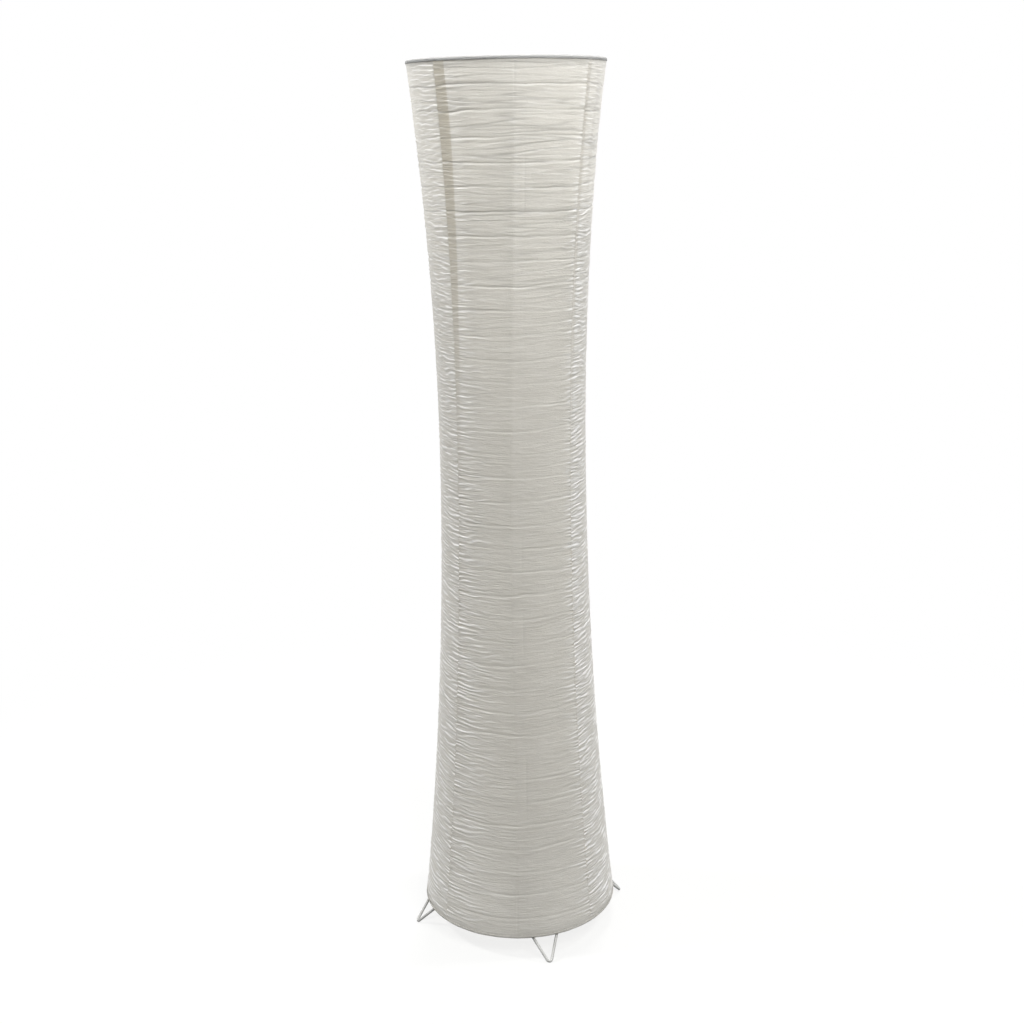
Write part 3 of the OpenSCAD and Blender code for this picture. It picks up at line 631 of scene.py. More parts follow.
def solid_material(name, light, dark, rough, grain_mm, grain_height_mm, metallic=0.0, stretch=(1, 1, 1),
                   patch_mm=14):
    """Patches mix the two colours, half-size ones set the roughness in its range, and a grain is bumped."""
    material = bpy.data.materials.new(name)
    tree = empty_tree(material)
    patches = spread(tree, object_noise(tree, patch_mm, (1, 1, 1), 4, 0.3), 0, 1)
    wear = spread(tree, object_noise(tree, patch_mm / 2, stretch, 3), *rough)
    grain = object_noise(tree, grain_mm, stretch, 2)
    bump = add(tree, "Bump", {"Height": grain, "Strength": 1.0, "Distance": grain_height_mm * MM})
    add(tree, "OutputMaterial", {"Surface": add(tree, "BsdfPrincipled", {
        "Base Color": layered(tree, dark, (patches, light)), "Roughness": wear, "Metallic": metallic,
        "Normal": bump})})
    return material


def opal_material():
    """Milky polycarbonate: three tenths of the light goes through and is scattered, and the skin is satin."""
    material = bpy.data.materials.new("opal_polycarbonate")
    tree = empty_tree(material)
    cloud = spread(tree, object_noise(tree, 18), 0, 1)
    colour = layered(tree, "#eceae4", (cloud, "#f4f3ee"))
    grain = object_noise(tree, 0.9, detail=2)
    bump = add(tree, "Bump", {"Height": grain, "Strength": 1.0, "Distance": 0.01 * MM})
    skin = add(tree, "BsdfPrincipled", {"Base Color": colour, "Roughness": 0.38, "IOR": 1.58, "Normal": bump})
    inside = add(tree, "BsdfTranslucent", {"Color": colour})
    add(tree, "OutputMaterial", {"Surface": add(tree, "MixShader", {0: 0.3, 1: skin, 2: inside})})
    return material


# Powder coat: paint dust melted on the wire. It is satin, with a skin of shallow bumps about 1 mm apart.
powder_coat = solid_material("powder_coated_steel", "#c9c9c6", "#bcbcb9", (0.26, 0.40), 1.0, 0.02)
# Drawn wire inside the hems, bare but oiled: fine lines along its length, here drawn 0.4 mm apart.
drawn_steel = solid_material("drawn_steel_wire", "#a9abad", "#8f9194", (0.30, 0.48), 0.4, 0.004, 1.0)
# Zinc plating over cut steel: blue-grey, a little cloudy, with the lines of the lathe.
zinc_plate = solid_material("zinc_plated_steel", "#b4b8bc", "#9da2a8", (0.26, 0.44), 0.35, 0.006, 1.0,
                            (1, 1, 3))
# Lampholders are moulded from PBT. The tool is spark eroded, so the white skin has a fine matt sparkle.
moulded_pbt = solid_material("moulded_pbt", "#f0efeb", "#e8e6df", (0.42, 0.56), 0.5, 0.008)
# Brass strip, rolled and pressed. It has darkened in patches where fingers touched it.
pressed_brass = solid_material("pressed_brass", "#cbab63", "#a98847", (0.24, 0.42), 0.5, 0.004, 1.0,
                               (1, 1, 4), 5)
# Tin solder that set as a drop, dull and a little grainy.
set_solder = solid_material("set_solder", "#c3c3c1", "#a6a6a4", (0.32, 0.50), 0.8, 0.03, 1.0, patch_mm=3)
# The black glass between the contacts of a bulb is poured and pressed, so it is glossy with soft waves.
black_glass = solid_material("pressed_black_glass", "#1c1c20", "#101013", (0.06, 0.16), 2.5, 0.03)
# Nickel over a drawn cap: warm, bright, with faint rings from drawing.
nickel_plate = solid_material("nickel_plated_cap", "#c9c5bc", "#b3afa5", (0.16, 0.32), 0.4, 0.004, 1.0,
                              (1, 1, 5))
# The bulb's neck is a glossy moulding in thermoplastic over aluminium.
bulb_plastic = solid_material("moulded_bulb_neck", "#f3f2ee", "#ebe9e3", (0.22, 0.34), 0.6, 0.006)
# A white solder mask on the light-emitting board, printed and cured: satin, faintly pitted.
solder_mask = solid_material("white_solder_mask", "#f1efe8", "#e6e3d9", (0.40, 0.55), 0.3, 0.006, patch_mm=5)
# Phosphor in silicone over each chip, soft and slightly grainy.
phosphor = solid_material("phosphor_in_silicone", "#ecd46a", "#d9ba4c", (0.30, 0.50), 0.3, 0.02, patch_mm=2)
opal = opal_material()
print("materials:", len(bpy.data.materials))

# %% [markdown]
# ## Shapes of the fittings
# Everything inside is wire, rod, tube or a turned moulding, so two shapes are enough. A turned piece is an
# outline of radius and height, swung round an upright line. A wire is a circle carried along a path. The
# outlines are written in millimetres, as on a drawing, and take their sizes from the frame.

# %% Outlines, turned pieces and wires
WELD_REACH = 2.4
UP = (0, 0, 1)


def extent(node):
    """The radius, bottom and top, in mm, of a node that lies round the lamp's axis."""
    low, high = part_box(node)
    return high.x / MM, low.z / MM, high.z / MM


def heights(node):
    """The bottom and top of a node, in mm."""
    return [corner.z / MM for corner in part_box(node)]


def tube(inner, outer, low, high):
    """The outline of a straight tube, or of a rod where the inner radius is 0."""
    return [(inner, low), (outer, low), (outer, high), (inner, high)]


def rounded(outline, edge, steps=4):
    """Each corner becomes a parabola that starts and ends an edge's length from it. Axis points stay."""
    points = np.array(outline, float)
    before, after = np.roll(points, 1, axis=0) - points, np.roll(points, -1, axis=0) - points
    length_before, length_after = np.linalg.norm(before, axis=1), np.linalg.norm(after, axis=1)
    cut = np.where(points[:, 0] == 0, 0, np.minimum(edge, 0.45 * np.minimum(length_before, length_after)))
    first = (points + before * (cut / length_before)[:, None])[:, None]
    last = (points + after * (cut / length_after)[:, None])[:, None]
    t = np.linspace(0, 1, steps)[None, :, None]
    curves = ((1 - t) ** 2 * first + 2 * t * (1 - t) * points[:, None] + t ** 2 * last).reshape(-1, 2)
    moved = np.linalg.norm(np.diff(curves, axis=0, prepend=curves[-1:] + 1), axis=1)
    return curves[moved > 1e-6]


def refined(profile, step, closed):
    """Adds points along a profile, so that none lies further than one step from the next."""
    if closed:
        profile = np.concatenate([profile, profile[:1]])
    along = np.concatenate([[0], np.cumsum(np.linalg.norm(np.diff(profile, axis=0), axis=1))])
    wanted = np.unique(np.concatenate([along, np.arange(0, along[-1], step)]))
    wanted = wanted[np.diff(wanted, prepend=-1) > 1e-4]
    fine = np.stack([np.interp(wanted, along, profile[:, i]) for i in (0, 1)], axis=-1)
    return fine[:-1] if closed else fine


def close_poles(piece):
    """Merges points that share one spot, which turns the last quads round a pole into triangles."""
    mesh = bmesh.new()
    mesh.from_mesh(piece.data)
    bmesh.ops.remove_doubles(mesh, verts=mesh.verts, dist=1e-7)
    mesh.to_mesh(piece.data)
    mesh.free()


def turned(name, outline, edge=0.3, sides=64, centre=(0, 0), step=None, reshape=None, sheet=False):
    """An outline of (radius, height) in mm, listed up its outer side, swung round an upright line. It closes
    on itself, or at the axis if it starts there. reshape(angle, radius, height) gives new radii."""
    profile = rounded(outline, edge) if edge else np.array(outline, float)
    to_axis = sheet or profile[0, 0] == 0
    if step:
        profile = refined(profile, step, not to_axis)
    turns = np.linspace(0, 2 * np.pi, sides, endpoint=False)
    angle, index = np.meshgrid(turns, np.arange(len(profile)), indexing="ij")
    radius, height = profile[index, 0], profile[index, 1]
    if reshape:
        radius = reshape(angle, radius, height)
    x, y = centre[0] + radius * np.cos(angle), centre[1] + radius * np.sin(angle)
    piece = grid_object(name, np.stack([x, y, height], axis=-1) * MM, True, not to_axis)
    if to_axis:
        close_poles(piece)
    return piece


def wire(name, path, radius, side, welds=(0, 0), closed=False, sides=16):
    """A circle carried along a flat path, in mm. side is square to the path's plane. At a weld the wire
    swells, by a bell curve of the distance from that end."""
    path = np.asarray(path, float)
    ahead = np.roll(path, -1, axis=0) - np.roll(path, 1, axis=0) if closed else np.gradient(path, axis=0)
    ahead /= np.linalg.norm(ahead, axis=1)[:, None]
    along = np.concatenate([[0], np.cumsum(np.linalg.norm(np.diff(path, axis=0), axis=1))])
    to_ends = along, along[-1] - along
    r = radius * (1 + sum(weld * np.exp(-(d / WELD_REACH) ** 2) for weld, d in zip(welds, to_ends)))
    if not closed:
        path, ahead = (np.concatenate([a[:1], a, a[-1:]]) for a in (path, ahead))
        r = np.concatenate([[0], r, [0]])
    side = np.asarray(side, float)
    other = np.cross(side, ahead)
    t = np.linspace(0, 2 * np.pi, sides, endpoint=False)[None, :, None]
    points = path[:, None] + r[:, None, None] * (np.cos(t) * side + np.sin(t) * other[:, None])
    piece = grid_object(name, points * MM, closed, True)
    if not closed:
        close_poles(piece)
    return piece


def quarter_turn(points, number, offset=0.0):
    """Points turned round the lamp's axis by a number of right angles, and an offset in degrees."""
    a = math.radians(90 * number + offset)
    turn = np.array([[math.cos(a), math.sin(a), 0], [-math.sin(a), math.cos(a), 0], [0, 0, 1]])
    return np.asarray(points, float) @ turn


def straight(start, end, height, count=160):
    """Points along a straight line, out from the axis along +X."""
    x = np.linspace(start, end, count)
    return np.stack([x, 0 * x, 0 * x + height], axis=-1)


print("a square of four corners has", len(rounded(tube(1, 2, 0, 1), 0.3)), "points when it is rounded")

# %% [markdown]
# ## The wire base
# A ring of 3.5 mm wire carries everything. Four V-shaped feet are bent from the same wire and welded to it on
# the diagonals, and four spokes run in to a round plate. Where two wires are welded, the metal has run into
# a small fillet, so each wire swells towards its end. All of it was powder coated after welding.

# %% Base ring, feet, spokes and hub plate
ring_outer, ring_low, ring_high = extent("base_ring")
WIRE = (ring_high - ring_low) / 2
RING_R, RING_Z = ring_outer - WIRE, (ring_high + ring_low) / 2
FOOT_SLOPE, FOOT_HALF_ANGLE = math.radians(48.4), math.radians(23)
FOOT_NORMAL = [math.sin(FOOT_SLOPE), 0, math.cos(FOOT_SLOPE)]
FOOT_BEND, LEG_END = 3.2, 0.9
HOLE_R = 5.05
SIDES = ["right", "back", "left", "front"]
CORNERS = ["back_right", "back_left", "front_left", "front_right"]


def base_ring():
    """One wire bent to a circle. Its ends meet in a butt weld at the back, which stands out by a tenth."""
    a = np.linspace(0, 2 * np.pi, 240, endpoint=False) + np.pi / 2 + 0.2
    path = np.stack([RING_R * np.cos(a), RING_R * np.sin(a), RING_Z + 0 * a], axis=-1)
    return wire("base_ring_wire", path, WIRE, UP, (0.10, 0.10), closed=True)


def foot_path():
    """Down one leg, round the small bend at the tip, and up the other leg, on a plane that slopes by 48.4
    degrees. A leg starts inside the base ring. x is across the foot, and y runs up the slope from the tip."""
    run = (RING_Z - WIRE) / math.sin(FOOT_SLOPE)
    start = FOOT_BEND * (1 - math.sin(FOOT_HALF_ANGLE))
    length = (run - start) / math.cos(FOOT_HALF_ANGLE)
    spread_out = FOOT_BEND * math.cos(FOOT_HALF_ANGLE) + length * math.sin(FOOT_HALF_ANGLE)
    tip_r = math.sqrt(RING_R ** 2 - spread_out ** 2) + run * math.cos(FOOT_SLOPE)
    up_leg = np.linspace(0.02, 1, 70) * (length - LEG_END)
    leg_x = FOOT_BEND * math.cos(FOOT_HALF_ANGLE) + up_leg * math.sin(FOOT_HALF_ANGLE)
    leg_y = start + up_leg * math.cos(FOOT_HALF_ANGLE)
    bend = np.linspace(-FOOT_HALF_ANGLE, FOOT_HALF_ANGLE - np.pi, 15)
    x = np.concatenate([leg_x[::-1], FOOT_BEND * np.cos(bend), -leg_x])
    y = np.concatenate([leg_y[::-1], FOOT_BEND * (1 + np.sin(bend)), leg_y])
    return np.stack([tip_r - y * math.cos(FOOT_SLOPE), x, WIRE + y * math.sin(FOOT_SLOPE)], axis=-1)


dress(base_ring(), powder_coat, "coated_wire", "stand", "base_ring")
spoke_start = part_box("base_spoke_right")[0].x / MM
for i, (side, corner) in enumerate(zip(SIDES, CORNERS)):
    leg = wire("foot_wire_" + corner, quarter_turn(foot_path(), i, 45), WIRE,
               quarter_turn(FOOT_NORMAL, i, 45), (0.30, 0.30))
    dress(leg, powder_coat, "coated_wire", "stand", "foot_" + corner)
    line = quarter_turn(straight(spoke_start, RING_R - 1.0, RING_Z), i)
    spoke = wire("base_spoke_wire_" + side, line, WIRE, UP, (0, 0.30))
    dress(spoke, powder_coat, "coated_wire", "stand", "base_spoke_" + side)
plate = turned("base_plate", tube(HOLE_R, *extent("hub_plate")), 0.35, 96)
dress(plate, powder_coat, "coated_wire", "stand", "hub_plate")

# %% [markdown]
# ## Rods, sockets and couplers
# Four rods hold the shade up. Each comes in two lengths, so that the lamp fits its box, and a coupler
# sleeve joins them. The sleeve is crimped: two shallow grooves are rolled in, and each grips one of the
# rods. The rods stand in short tubes on the base, and the same tubes, upside down, are welded under the
# spider at the top.

# %% Rods and their tubes
ROD_R, TUBE_R, TUBE_BORE_R = 2.5, 3.95, 2.56
TUBE_FLOOR = 2.0
CRIMP_DEPTH, CRIMP_WIDTH = 0.35, 0.9
socket_low, socket_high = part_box("rod_socket_right")
ROD_CIRCLE = (socket_low.x + socket_high.x) / 2 / MM
coupler_low, coupler_high = heights("rod_couplers")


def cup(name, floor_z, mouth_z, centre):
    """A tube that is closed at floor_z and open at mouth_z, with a weld that spreads it at its closed end."""
    way = 1 if mouth_z > floor_z else -1
    inside = floor_z + way * TUBE_FLOOR
    outline = [(0, floor_z), (TUBE_R + 0.35, floor_z), (TUBE_R, floor_z + way * 0.9), (TUBE_R, mouth_z),
               (TUBE_BORE_R, mouth_z), (TUBE_BORE_R, inside), (0, inside)]
    return turned(name, outline if way > 0 else outline[::-1], 0.25, 32, centre)


def crimped(angle, radius, height):
    """The outer wall goes in by two bell-shaped grooves, a quarter of the length from each end."""
    off = np.abs(np.abs(height - (coupler_low + coupler_high) / 2) - (coupler_high - coupler_low) / 4)
    outside = radius > (TUBE_R + TUBE_BORE_R) / 2
    return radius - np.where(outside, CRIMP_DEPTH, 0) * np.exp(-(off / CRIMP_WIDTH) ** 2)


for i, side in enumerate(SIDES):
    centre = quarter_turn([ROD_CIRCLE, 0, 0], i)[:2]
    socket = cup("socket_tube_" + side, *heights("rod_socket_right"), centre)
    dress(socket, powder_coat, "coated_wire", "stand", "rod_socket_" + side)
    for level in ("lower", "upper"):
        node = f"rod_{level}_{side}"
        rod = turned(f"{level}_rod_{side}", tube(0, ROD_R, *heights(node)), 0.5, 24, centre)
        dress(rod, powder_coat, "coated_wire", "stand", node)
    sleeve = turned("coupler_sleeve_" + side, tube(TUBE_BORE_R, TUBE_R, coupler_low, coupler_high),
                    0.35, 32, centre, 0.4, crimped)
    dress(sleeve, powder_coat, "coated_wire", "stand", "rod_couplers")
    cap = cup("cap_tube_" + side, *heights("rod_cap_right")[::-1], centre)
    dress(cap, powder_coat, "coated_wire", "shade", "rod_cap_" + side)

# %% [markdown]
# ## The spider at the top
# Four spokes of thinner wire run from a flat ring in the middle to the top hoop. They are what one sees
# when looking down into the lamp. The hoops themselves are hidden in the paper, so they stay as the frame
# has them.

# %% Spider
spider_low, spider_high = heights("top_spoke_right")
SPIDER_END = extent("top_spoke_right")[0] + 0.4
hub_r, hub_low, hub_high = extent("top_hub")
hub = turned("spider_hub", tube(hub_r / 2, hub_r, hub_low, hub_high), 0.5)
dress(hub, powder_coat, "coated_wire", "shade", "top_hub")
for i, side in enumerate(SIDES):
    line = quarter_turn(straight(hub_r - 0.6, SPIDER_END, (spider_low + spider_high) / 2), i)
    spoke = wire("spider_spoke_" + side, line, (spider_high - spider_low) / 2, UP, (0.35, 0.30))
    dress(spoke, powder_coat, "coated_wire", "shade", "top_spoke_" + side)

# %% [markdown]
# ## The cord inlet
# A hollow threaded nipple holds the lampholder on the plate, with a washer and a nut under it. A plastic bush
# in its lower end guards the cord. The thread climbs by one pitch in each turn: its depth is a wave of the
# height less the angle, so the crest is one long helix. It fades out near the ends, as a cut thread does.

# %% Nipple, nut and bush
NIPPLE_PITCH, NIPPLE_DEPTH, NIPPLE_BORE_R = 1.0, 0.5, 4.0
BUSH_R, BUSH_BORE_R, BUSH_FLANGE = 3.95, 3.2, 2.0
nipple_r, nipple_low, nipple_high = extent("threaded_nipple")
nut_r, nut_low, nut_high = extent("nipple_nut")
bush_r, bush_low, bush_high = extent("cord_inlet_bush")
NUT_FLAT = nut_r * math.cos(math.pi / 6)


def threaded(angle, radius, height):
    """Takes the thread's groove out of the outer radius: a wave of height / pitch - angle."""
    groove = 0.5 - 0.5 * np.cos(2 * np.pi * (height / NIPPLE_PITCH) - angle)
    fade = smooth_step(nipple_low, nipple_low + NIPPLE_PITCH, height)
    fade = fade * smooth_step(0, NIPPLE_PITCH, nipple_high - height)
    return radius - np.where(radius > NIPPLE_BORE_R + 0.3, NIPPLE_DEPTH, 0) * groove * fade


def hexagon(angle, radius, height):
    """No point lies beyond the hexagon: its apothem over the cosine of the angle from the flat's middle."""
    return np.minimum(radius, NUT_FLAT / np.cos(np.mod(angle, np.pi / 3) - np.pi / 6))


nipple = turned("cut_nipple", tube(NIPPLE_BORE_R, nipple_r, nipple_low, nipple_high), 0.3, 48,
                step=0.14, reshape=threaded)
dress(nipple, zinc_plate, "zinc_steel", "stand", "threaded_nipple")
nut = turned("hexagon_nut", [
    (HOLE_R + 0.6, nut_low), (NUT_FLAT - 0.2, nut_low), (nut_r, nut_low + 0.8), (nut_r, nut_high - 0.8),
    (NUT_FLAT - 0.2, nut_high), (HOLE_R + 0.6, nut_high), (HOLE_R, nut_high - 0.6), (HOLE_R, nut_low + 0.6),
], 0.1, 144, step=0.3, reshape=hexagon)
dress(nut, zinc_plate, "zinc_steel", "stand", "nipple_nut")
bush = turned("inlet_bush", [
    (BUSH_BORE_R, bush_low), (bush_r, bush_low), (bush_r, bush_low + BUSH_FLANGE),
    (BUSH_R, bush_low + BUSH_FLANGE), (BUSH_R, bush_high), (BUSH_BORE_R, bush_high),
], 0.7)
dress(bush, moulded_pbt, "white_plastic", "stand", "cord_inlet_bush")

# %% [markdown]
# ## The lampholder
# An E27 lampholder is three mouldings: a cap that screws on the nipple, an insert with the contacts, and
# a body that screws on the cap. Both outer parts have small upright ribs for the fingers. The brass shell
# inside is rolled from thin strip, so the same wave shows on both of its sides.

# %% Cap, body and shell
HOLDER_R, cap_low, cap_high = extent("lampholder_cap")
_, body_low, body_high = extent("lampholder_body")
insert_r, insert_low, insert_high = extent("lampholder_insert")
shell_r, shell_low, shell_high = extent("screw_shell")
SEAT = 0.05
HOLDER_INSIDE = insert_r + SEAT
RIBS, RIB_DEPTH, RIB_HEIGHT = 60, 0.35, 10
NECK_R, NECK_H, SHOULDER, RIM_H, LEDGE = 8.45, 10.0, 3.0, 5.0, 1.7
SCREW_R, SCREW_RECESS = 2.1, 0.7
MOUTH_R, MOUTH_T, MOUTH_EDGE, LIP_T = shell_r + 0.4, 2.0, 1.2, 2.0
THREAD_LEAD, THREAD_DEPTH, SHELL_WALL = 3.63, 0.9, 0.5
SHELL_WAVE = 2 * np.pi * (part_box("bulb_cap")[0].z / MM / THREAD_LEAD)


def ribbed(low, high):
    """Upright ribs between two heights: the outer wall goes in by a rounded wave of the angle."""
    def reshape(angle, radius, height):
        band = smooth_step(low, low + 1, height) * smooth_step(0, 1, high - height)
        wave = 0.5 - 0.5 * np.cos(RIBS * angle)
        return radius - np.where(radius > HOLDER_R - 1, RIB_DEPTH, 0) * band * wave ** 2
    return reshape


def cap_shape(angle, radius, height):
    """The ribs, and a shallow round recess in the neck for the grub screw."""
    with_ribs = ribbed(cap_high - RIM_H, cap_high)(angle, radius, height)
    from_screw = np.hypot(radius * np.sin(angle), height - (cap_low + NECK_H / 2))
    recess = np.where((np.cos(angle) > 0) & (np.abs(radius - NECK_R) < 1), SCREW_RECESS, 0)
    return with_ribs - recess * (1 - smooth_step(SCREW_R - 0.4, SCREW_R, from_screw))


def rolled(angle, height):
    """The rolled thread of the shell and of the bulb's cap: both follow one helix, so they stay nested."""
    return THREAD_DEPTH * (0.5 - 0.5 * np.cos(2 * np.pi * height / THREAD_LEAD - angle - SHELL_WAVE))


def shell_shape(angle, radius, height):
    """The wave goes in from the crest, and fades at both ends."""
    fade = smooth_step(shell_low, shell_low + 2, height) * smooth_step(0, 2, shell_high - height)
    return radius - rolled(angle, height) * fade


neck_top, rim, seat, lip = cap_low + NECK_H, cap_high - RIM_H, insert_low - SEAT, insert_high + SEAT
cap = turned("holder_cap", [
    (HOLE_R, cap_low), (NECK_R, cap_low), (NECK_R, neck_top), (NECK_R + SHOULDER, neck_top + SHOULDER),
    (HOLDER_R - SHOULDER, rim - SHOULDER), (HOLDER_R, rim), (HOLDER_R, cap_high), (HOLDER_INSIDE, cap_high),
    (HOLDER_INSIDE, seat), (HOLDER_INSIDE - LEDGE, seat), (HOLDER_INSIDE - LEDGE, insert_low - 2),
    (NECK_R, neck_top + SHOULDER), (HOLE_R, neck_top + 1.8),
], 0.6, 300, step=0.45, reshape=cap_shape)
dress(cap, moulded_pbt, "white_plastic", "stand", "lampholder_cap")
body = turned("holder_body", [
    (HOLDER_INSIDE, body_low), (HOLDER_R, body_low), (HOLDER_R, body_high - MOUTH_EDGE),
    (HOLDER_R - MOUTH_EDGE, body_high), (MOUTH_R, body_high), (MOUTH_R, body_high - MOUTH_T),
    (HOLDER_INSIDE, body_high - MOUTH_T - MOUTH_EDGE), (HOLDER_INSIDE, lip + LIP_T),
    (HOLDER_INSIDE - LEDGE, lip + LIP_T * 0.75), (HOLDER_INSIDE - LEDGE, lip), (HOLDER_INSIDE, lip),
], 0.5, 300, step=0.6, reshape=ribbed(body_low + 1, body_low + 1 + RIB_HEIGHT))
dress(body, moulded_pbt, "white_plastic", "stand", "lampholder_body")
shell = turned("threaded_shell", tube(shell_r - SHELL_WALL, shell_r, shell_low, shell_high), 0, 96,
               step=0.3, reshape=shell_shape)
dress(shell, pressed_brass, "brass", "stand", "screw_shell")

# %% [markdown]
# ## The bulb
# The bulb is a modern one: a nickel-plated cap with its rolled thread, black glass and a drop of solder
# under it, a white neck, and an opal dome. The cap's skirt is crimped to the neck by a row of dimples. The
# dome is a thin shell, so it is made as one surface, and a Solidify modifier gives it its wall.

# %% Bulb
contact_r, contact_low, contact_high = extent("bulb_contact")
glass_r, glass_low, glass_high = extent("bulb_insulator")
cap_r, cap_bottom, cap_top = extent("bulb_cap")
neck_r, neck_low, neck_high = extent("bulb_housing")
globe_r, _, globe_high = extent("bulb_globe")
BULB_SKIRT = cap_bottom + 5 * THREAD_LEAD
DIMPLES, DIMPLE_DEPTH, DIMPLE_R, DIMPLE_UP = 12, 0.5, 0.7, 2.4
CAP_WALL, GLOBE_WALL = 0.5, 1.2
NECK_WALL, NECK_FOOT, NECK_SHOULDER = 2.4, 13.7, neck_r - 6.4
low_bend, high_bend = neck_low + 5.6, neck_low + 16.8


def bulb_cap_shape(angle, radius, height):
    """The wave goes in from the thread's crest. The skirt has the root's radius and a row of dimples."""
    start = smooth_step(cap_bottom + 0.4, cap_bottom + 1.4, height)
    on_skirt = smooth_step(BULB_SKIRT - 1.5, BULB_SKIRT, height)
    inwards = rolled(angle, height) * (1 - on_skirt) * start + THREAD_DEPTH * np.maximum(on_skirt, 1 - start)
    off_row = (height - BULB_SKIRT - DIMPLE_UP) / DIMPLE_R
    dimple = DIMPLE_DEPTH * np.exp(-off_row ** 2) * np.maximum(np.cos(DIMPLES * angle), 0) ** 6
    return radius - inwards - dimple


drop = turned("solder_drop", [
    (0, contact_low), (contact_r * 0.7, contact_low), (contact_r * 0.95, contact_low + 0.5),
    (contact_r, contact_high), (0, contact_high),
], 0.45, 40)
dress(drop, set_solder, "solder", "bulb_pip", "bulb_contact")
glass = turned("insulator_glass", [
    (0, glass_low), (contact_r + 0.6, glass_low), (glass_r, glass_high), (0, glass_high)], 0.8)
dress(glass, black_glass, "black_glass", "bulb", "bulb_insulator")
bulb_cap = turned("bulb_screw_cap", [
    (glass_r + 0.2 - CAP_WALL, cap_bottom), (glass_r + 0.2, cap_bottom), (cap_r, cap_bottom + 1.0),
    (cap_r, cap_top), (cap_r - CAP_WALL, cap_top), (cap_r - CAP_WALL, cap_bottom + 1.4),
], 0, 120, step=0.3, reshape=bulb_cap_shape)
dress(bulb_cap, nickel_plate, "nickel_cap", "bulb", "bulb_cap")
neck = turned("bulb_neck", [
    (contact_r, neck_low), (NECK_FOOT, neck_low), (NECK_FOOT + 1.2, low_bend), (NECK_SHOULDER, high_bend),
    (neck_r, neck_high), (neck_r - NECK_WALL, neck_high), (neck_r - NECK_WALL, neck_high - 2),
    (neck_r - 2 * NECK_WALL, neck_high - 2), (NECK_SHOULDER - NECK_WALL, high_bend),
    (NECK_FOOT + 1.2 - NECK_WALL, low_bend), (NECK_FOOT - NECK_WALL, neck_low + 1.2),
    (contact_r, neck_low + 1.2),
], 4.0, 96, step=1.2)
dress(neck, bulb_plastic, "bulb_plastic", "bulb", "bulb_housing")
rise = np.linspace(-math.acos(neck_r / globe_r), np.pi / 2, 48)
dome = np.stack([globe_r * np.cos(rise), globe_high - globe_r + globe_r * np.sin(rise)], axis=-1)
dome[-1, 0] = 0
globe = turned("opal_globe", dome, 0, 96, sheet=True)
wall = globe.modifiers.new("wall", "SOLIDIFY")
wall.thickness = GLOBE_WALL * MM
wall.offset = -1
dress(globe, opal, "opal_globe", "bulb", "bulb_globe")

# %% [markdown]
# ## Pieces that stay as they are
# The hoops are hidden in the hems, and the small contacts, screws, washer, insert, board and chips already
# have their right shapes. They keep the frame's meshes and only get their finishes.

# %% Finishes on the frame's own pieces
KEPT = {
    "top_hoop": drawn_steel, "bottom_hoop": drawn_steel, "lock_washer": zinc_plate, "grub_screw": zinc_plate,
    "lampholder_insert": moulded_pbt, "live_contact": pressed_brass, "neutral_contact": pressed_brass,
    "terminal_screws": pressed_brass, "led_board": solder_mask, "led_chips": phosphor,
}
for node, material in KEPT.items():
    for material_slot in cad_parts[node].material_slots:
        material_slot.material = material
left_bare = [name for name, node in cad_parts.items() if not node.hide_render and name not in KEPT]
print("nodes with only the frame's finish:", left_bare)

# %% [markdown]
# ## Floor, backdrop and light
# The lamp stands on a plain pale floor in soft light. A large soft lamp from the front gives the even
# tone of the middle. Two smaller ones beside it, left and right and 45 to 50 degrees up, graze the creases
# near the outline, and a fourth shines from behind down into the open top. The white behind the object
# is only shown to the camera, to reflections and through glass, so it adds no light.

# %% Stage
FLOOR_BOUNCE, FLOOR_SHOWN, FLOOR_LIFT = "#2c2c2b", "#6e6e6c", 0.80
FLOOR_RADIUS, SHADOW_END, WHITE_START = 12.0, 0.5, 1.2
WORLD_LEVEL = 0.29
# Turn and elevation in degrees, distance and width in metres, power in watts, and the height aimed at.
LAMPS = {
    "front_softbox": (24, 37, 2.4, 1.3, 53, 0.95),
    "left_edge_light": (-92, 45, 4.0, 0.5, 96, 0.55),
    "right_edge_light": (102, 50, 4.0, 0.5, 50, 0.5),
    "top_back_light": (165, 62, 4.5, 1.0, 104, 1.0),
}


def seen_directly(tree):
    """1 for rays from the camera, off a shiny surface or through glass, and 0 for rays that only light."""
    rays = [add(tree, "LightPath", out=f"Is {kind} Ray") for kind in ("Camera", "Glossy", "Transmission")]
    seen = add(tree, "Math", {0: rays[0], 1: rays[1]}, operation="ADD")
    return add(tree, "Math", {0: seen, 1: rays[2]}, operation="ADD", use_clamp=True)


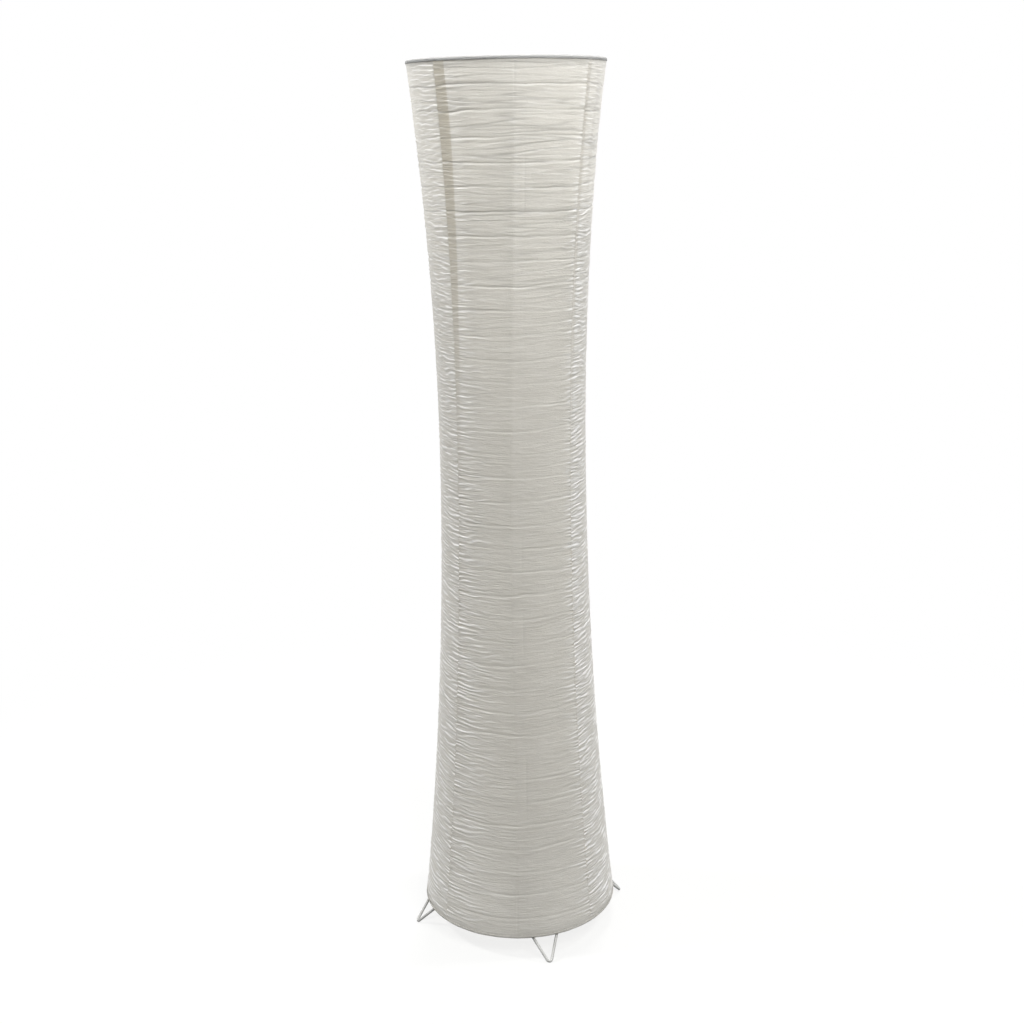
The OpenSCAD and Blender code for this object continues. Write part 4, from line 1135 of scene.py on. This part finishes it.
def stage_material():
    """Matt board that looks white but throws little light back. Near the lamp it shows the shadows, and from
    0.5 to 1.2 m away it turns plain white."""
    material = bpy.data.materials.new("pale_floor")
    tree = empty_tree(material)
    seen = seen_directly(tree)
    distance = add(tree, "VectorMath", {0: add(tree, "TexCoord", out="Object")}, "Value", operation="LENGTH")
    far = add(tree, "MapRange", {
        "Value": distance, "From Min": SHADOW_END, "From Max": WHITE_START}, interpolation_type="SMOOTHSTEP")
    surface = add(tree, "BsdfDiffuse", {"Color": layered(tree, FLOOR_BOUNCE, (seen, FLOOR_SHOWN))})
    lift = add(tree, "Math", {0: seen, 1: FLOOR_LIFT}, operation="MULTIPLY")
    glow = add(tree, "Emission", {"Color": "#ffffff", "Strength": lift})
    near = add(tree, "AddShader", {0: surface, 1: glow})
    white = add(tree, "Emission", {"Color": "#ffffff", "Strength": 1.0})
    how_white = add(tree, "Math", {0: seen, 1: far}, operation="MULTIPLY")
    add(tree, "OutputMaterial", {"Surface": add(tree, "MixShader", {0: how_white, 1: near, 2: white})})
    return material


def make_floor(rings=24, sides=96):
    """A flat disc, as rings round the lamp's axis."""
    radii, turns = np.linspace(0.001, FLOOR_RADIUS, rings), np.linspace(0, 2 * np.pi, sides, endpoint=False)
    r, a = np.meshgrid(radii, turns, indexing="ij")
    floor = grid_object("floor", np.stack([r * np.cos(a), r * np.sin(a), 0 * r], axis=-1), close_v=True)
    floor.data.materials.append(stage_material())


def make_world():
    """An even grey light, shown as white to the camera, to reflections and through glass."""
    scene.world = bpy.data.worlds.new("studio")
    tree = empty_tree(scene.world)
    strength = add(tree, "MapRange", {"Value": seen_directly(tree), "To Min": WORLD_LEVEL, "To Max": 1.0})
    add(tree, "OutputWorld", {"Surface": add(tree, "Background", {"Color": "#ffffff", "Strength": strength})})


def soft_lamp(name, turn, elevation, distance, width, power, aim):
    """A square area lamp that looks at a point on the lamp's axis."""
    rise = math.radians(elevation)
    data = bpy.data.lights.new(name, "AREA")
    data.size = width
    data.energy = power
    lamp = bpy.data.objects.new(name, data)
    lamp.location = around(turn, distance * math.cos(rise), aim + distance * math.sin(rise))
    lamp.rotation_euler = (Vector((0, 0, aim)) - lamp.location).to_track_quat("-Z", "Y").to_euler()
    lamp.visible_camera = False
    scene.collection.objects.link(lamp)


make_floor()
make_world()
for name, values in LAMPS.items():
    soft_lamp(name, *values)
scene.view_settings.view_transform = "Standard"
print("lamps:", list(LAMPS))
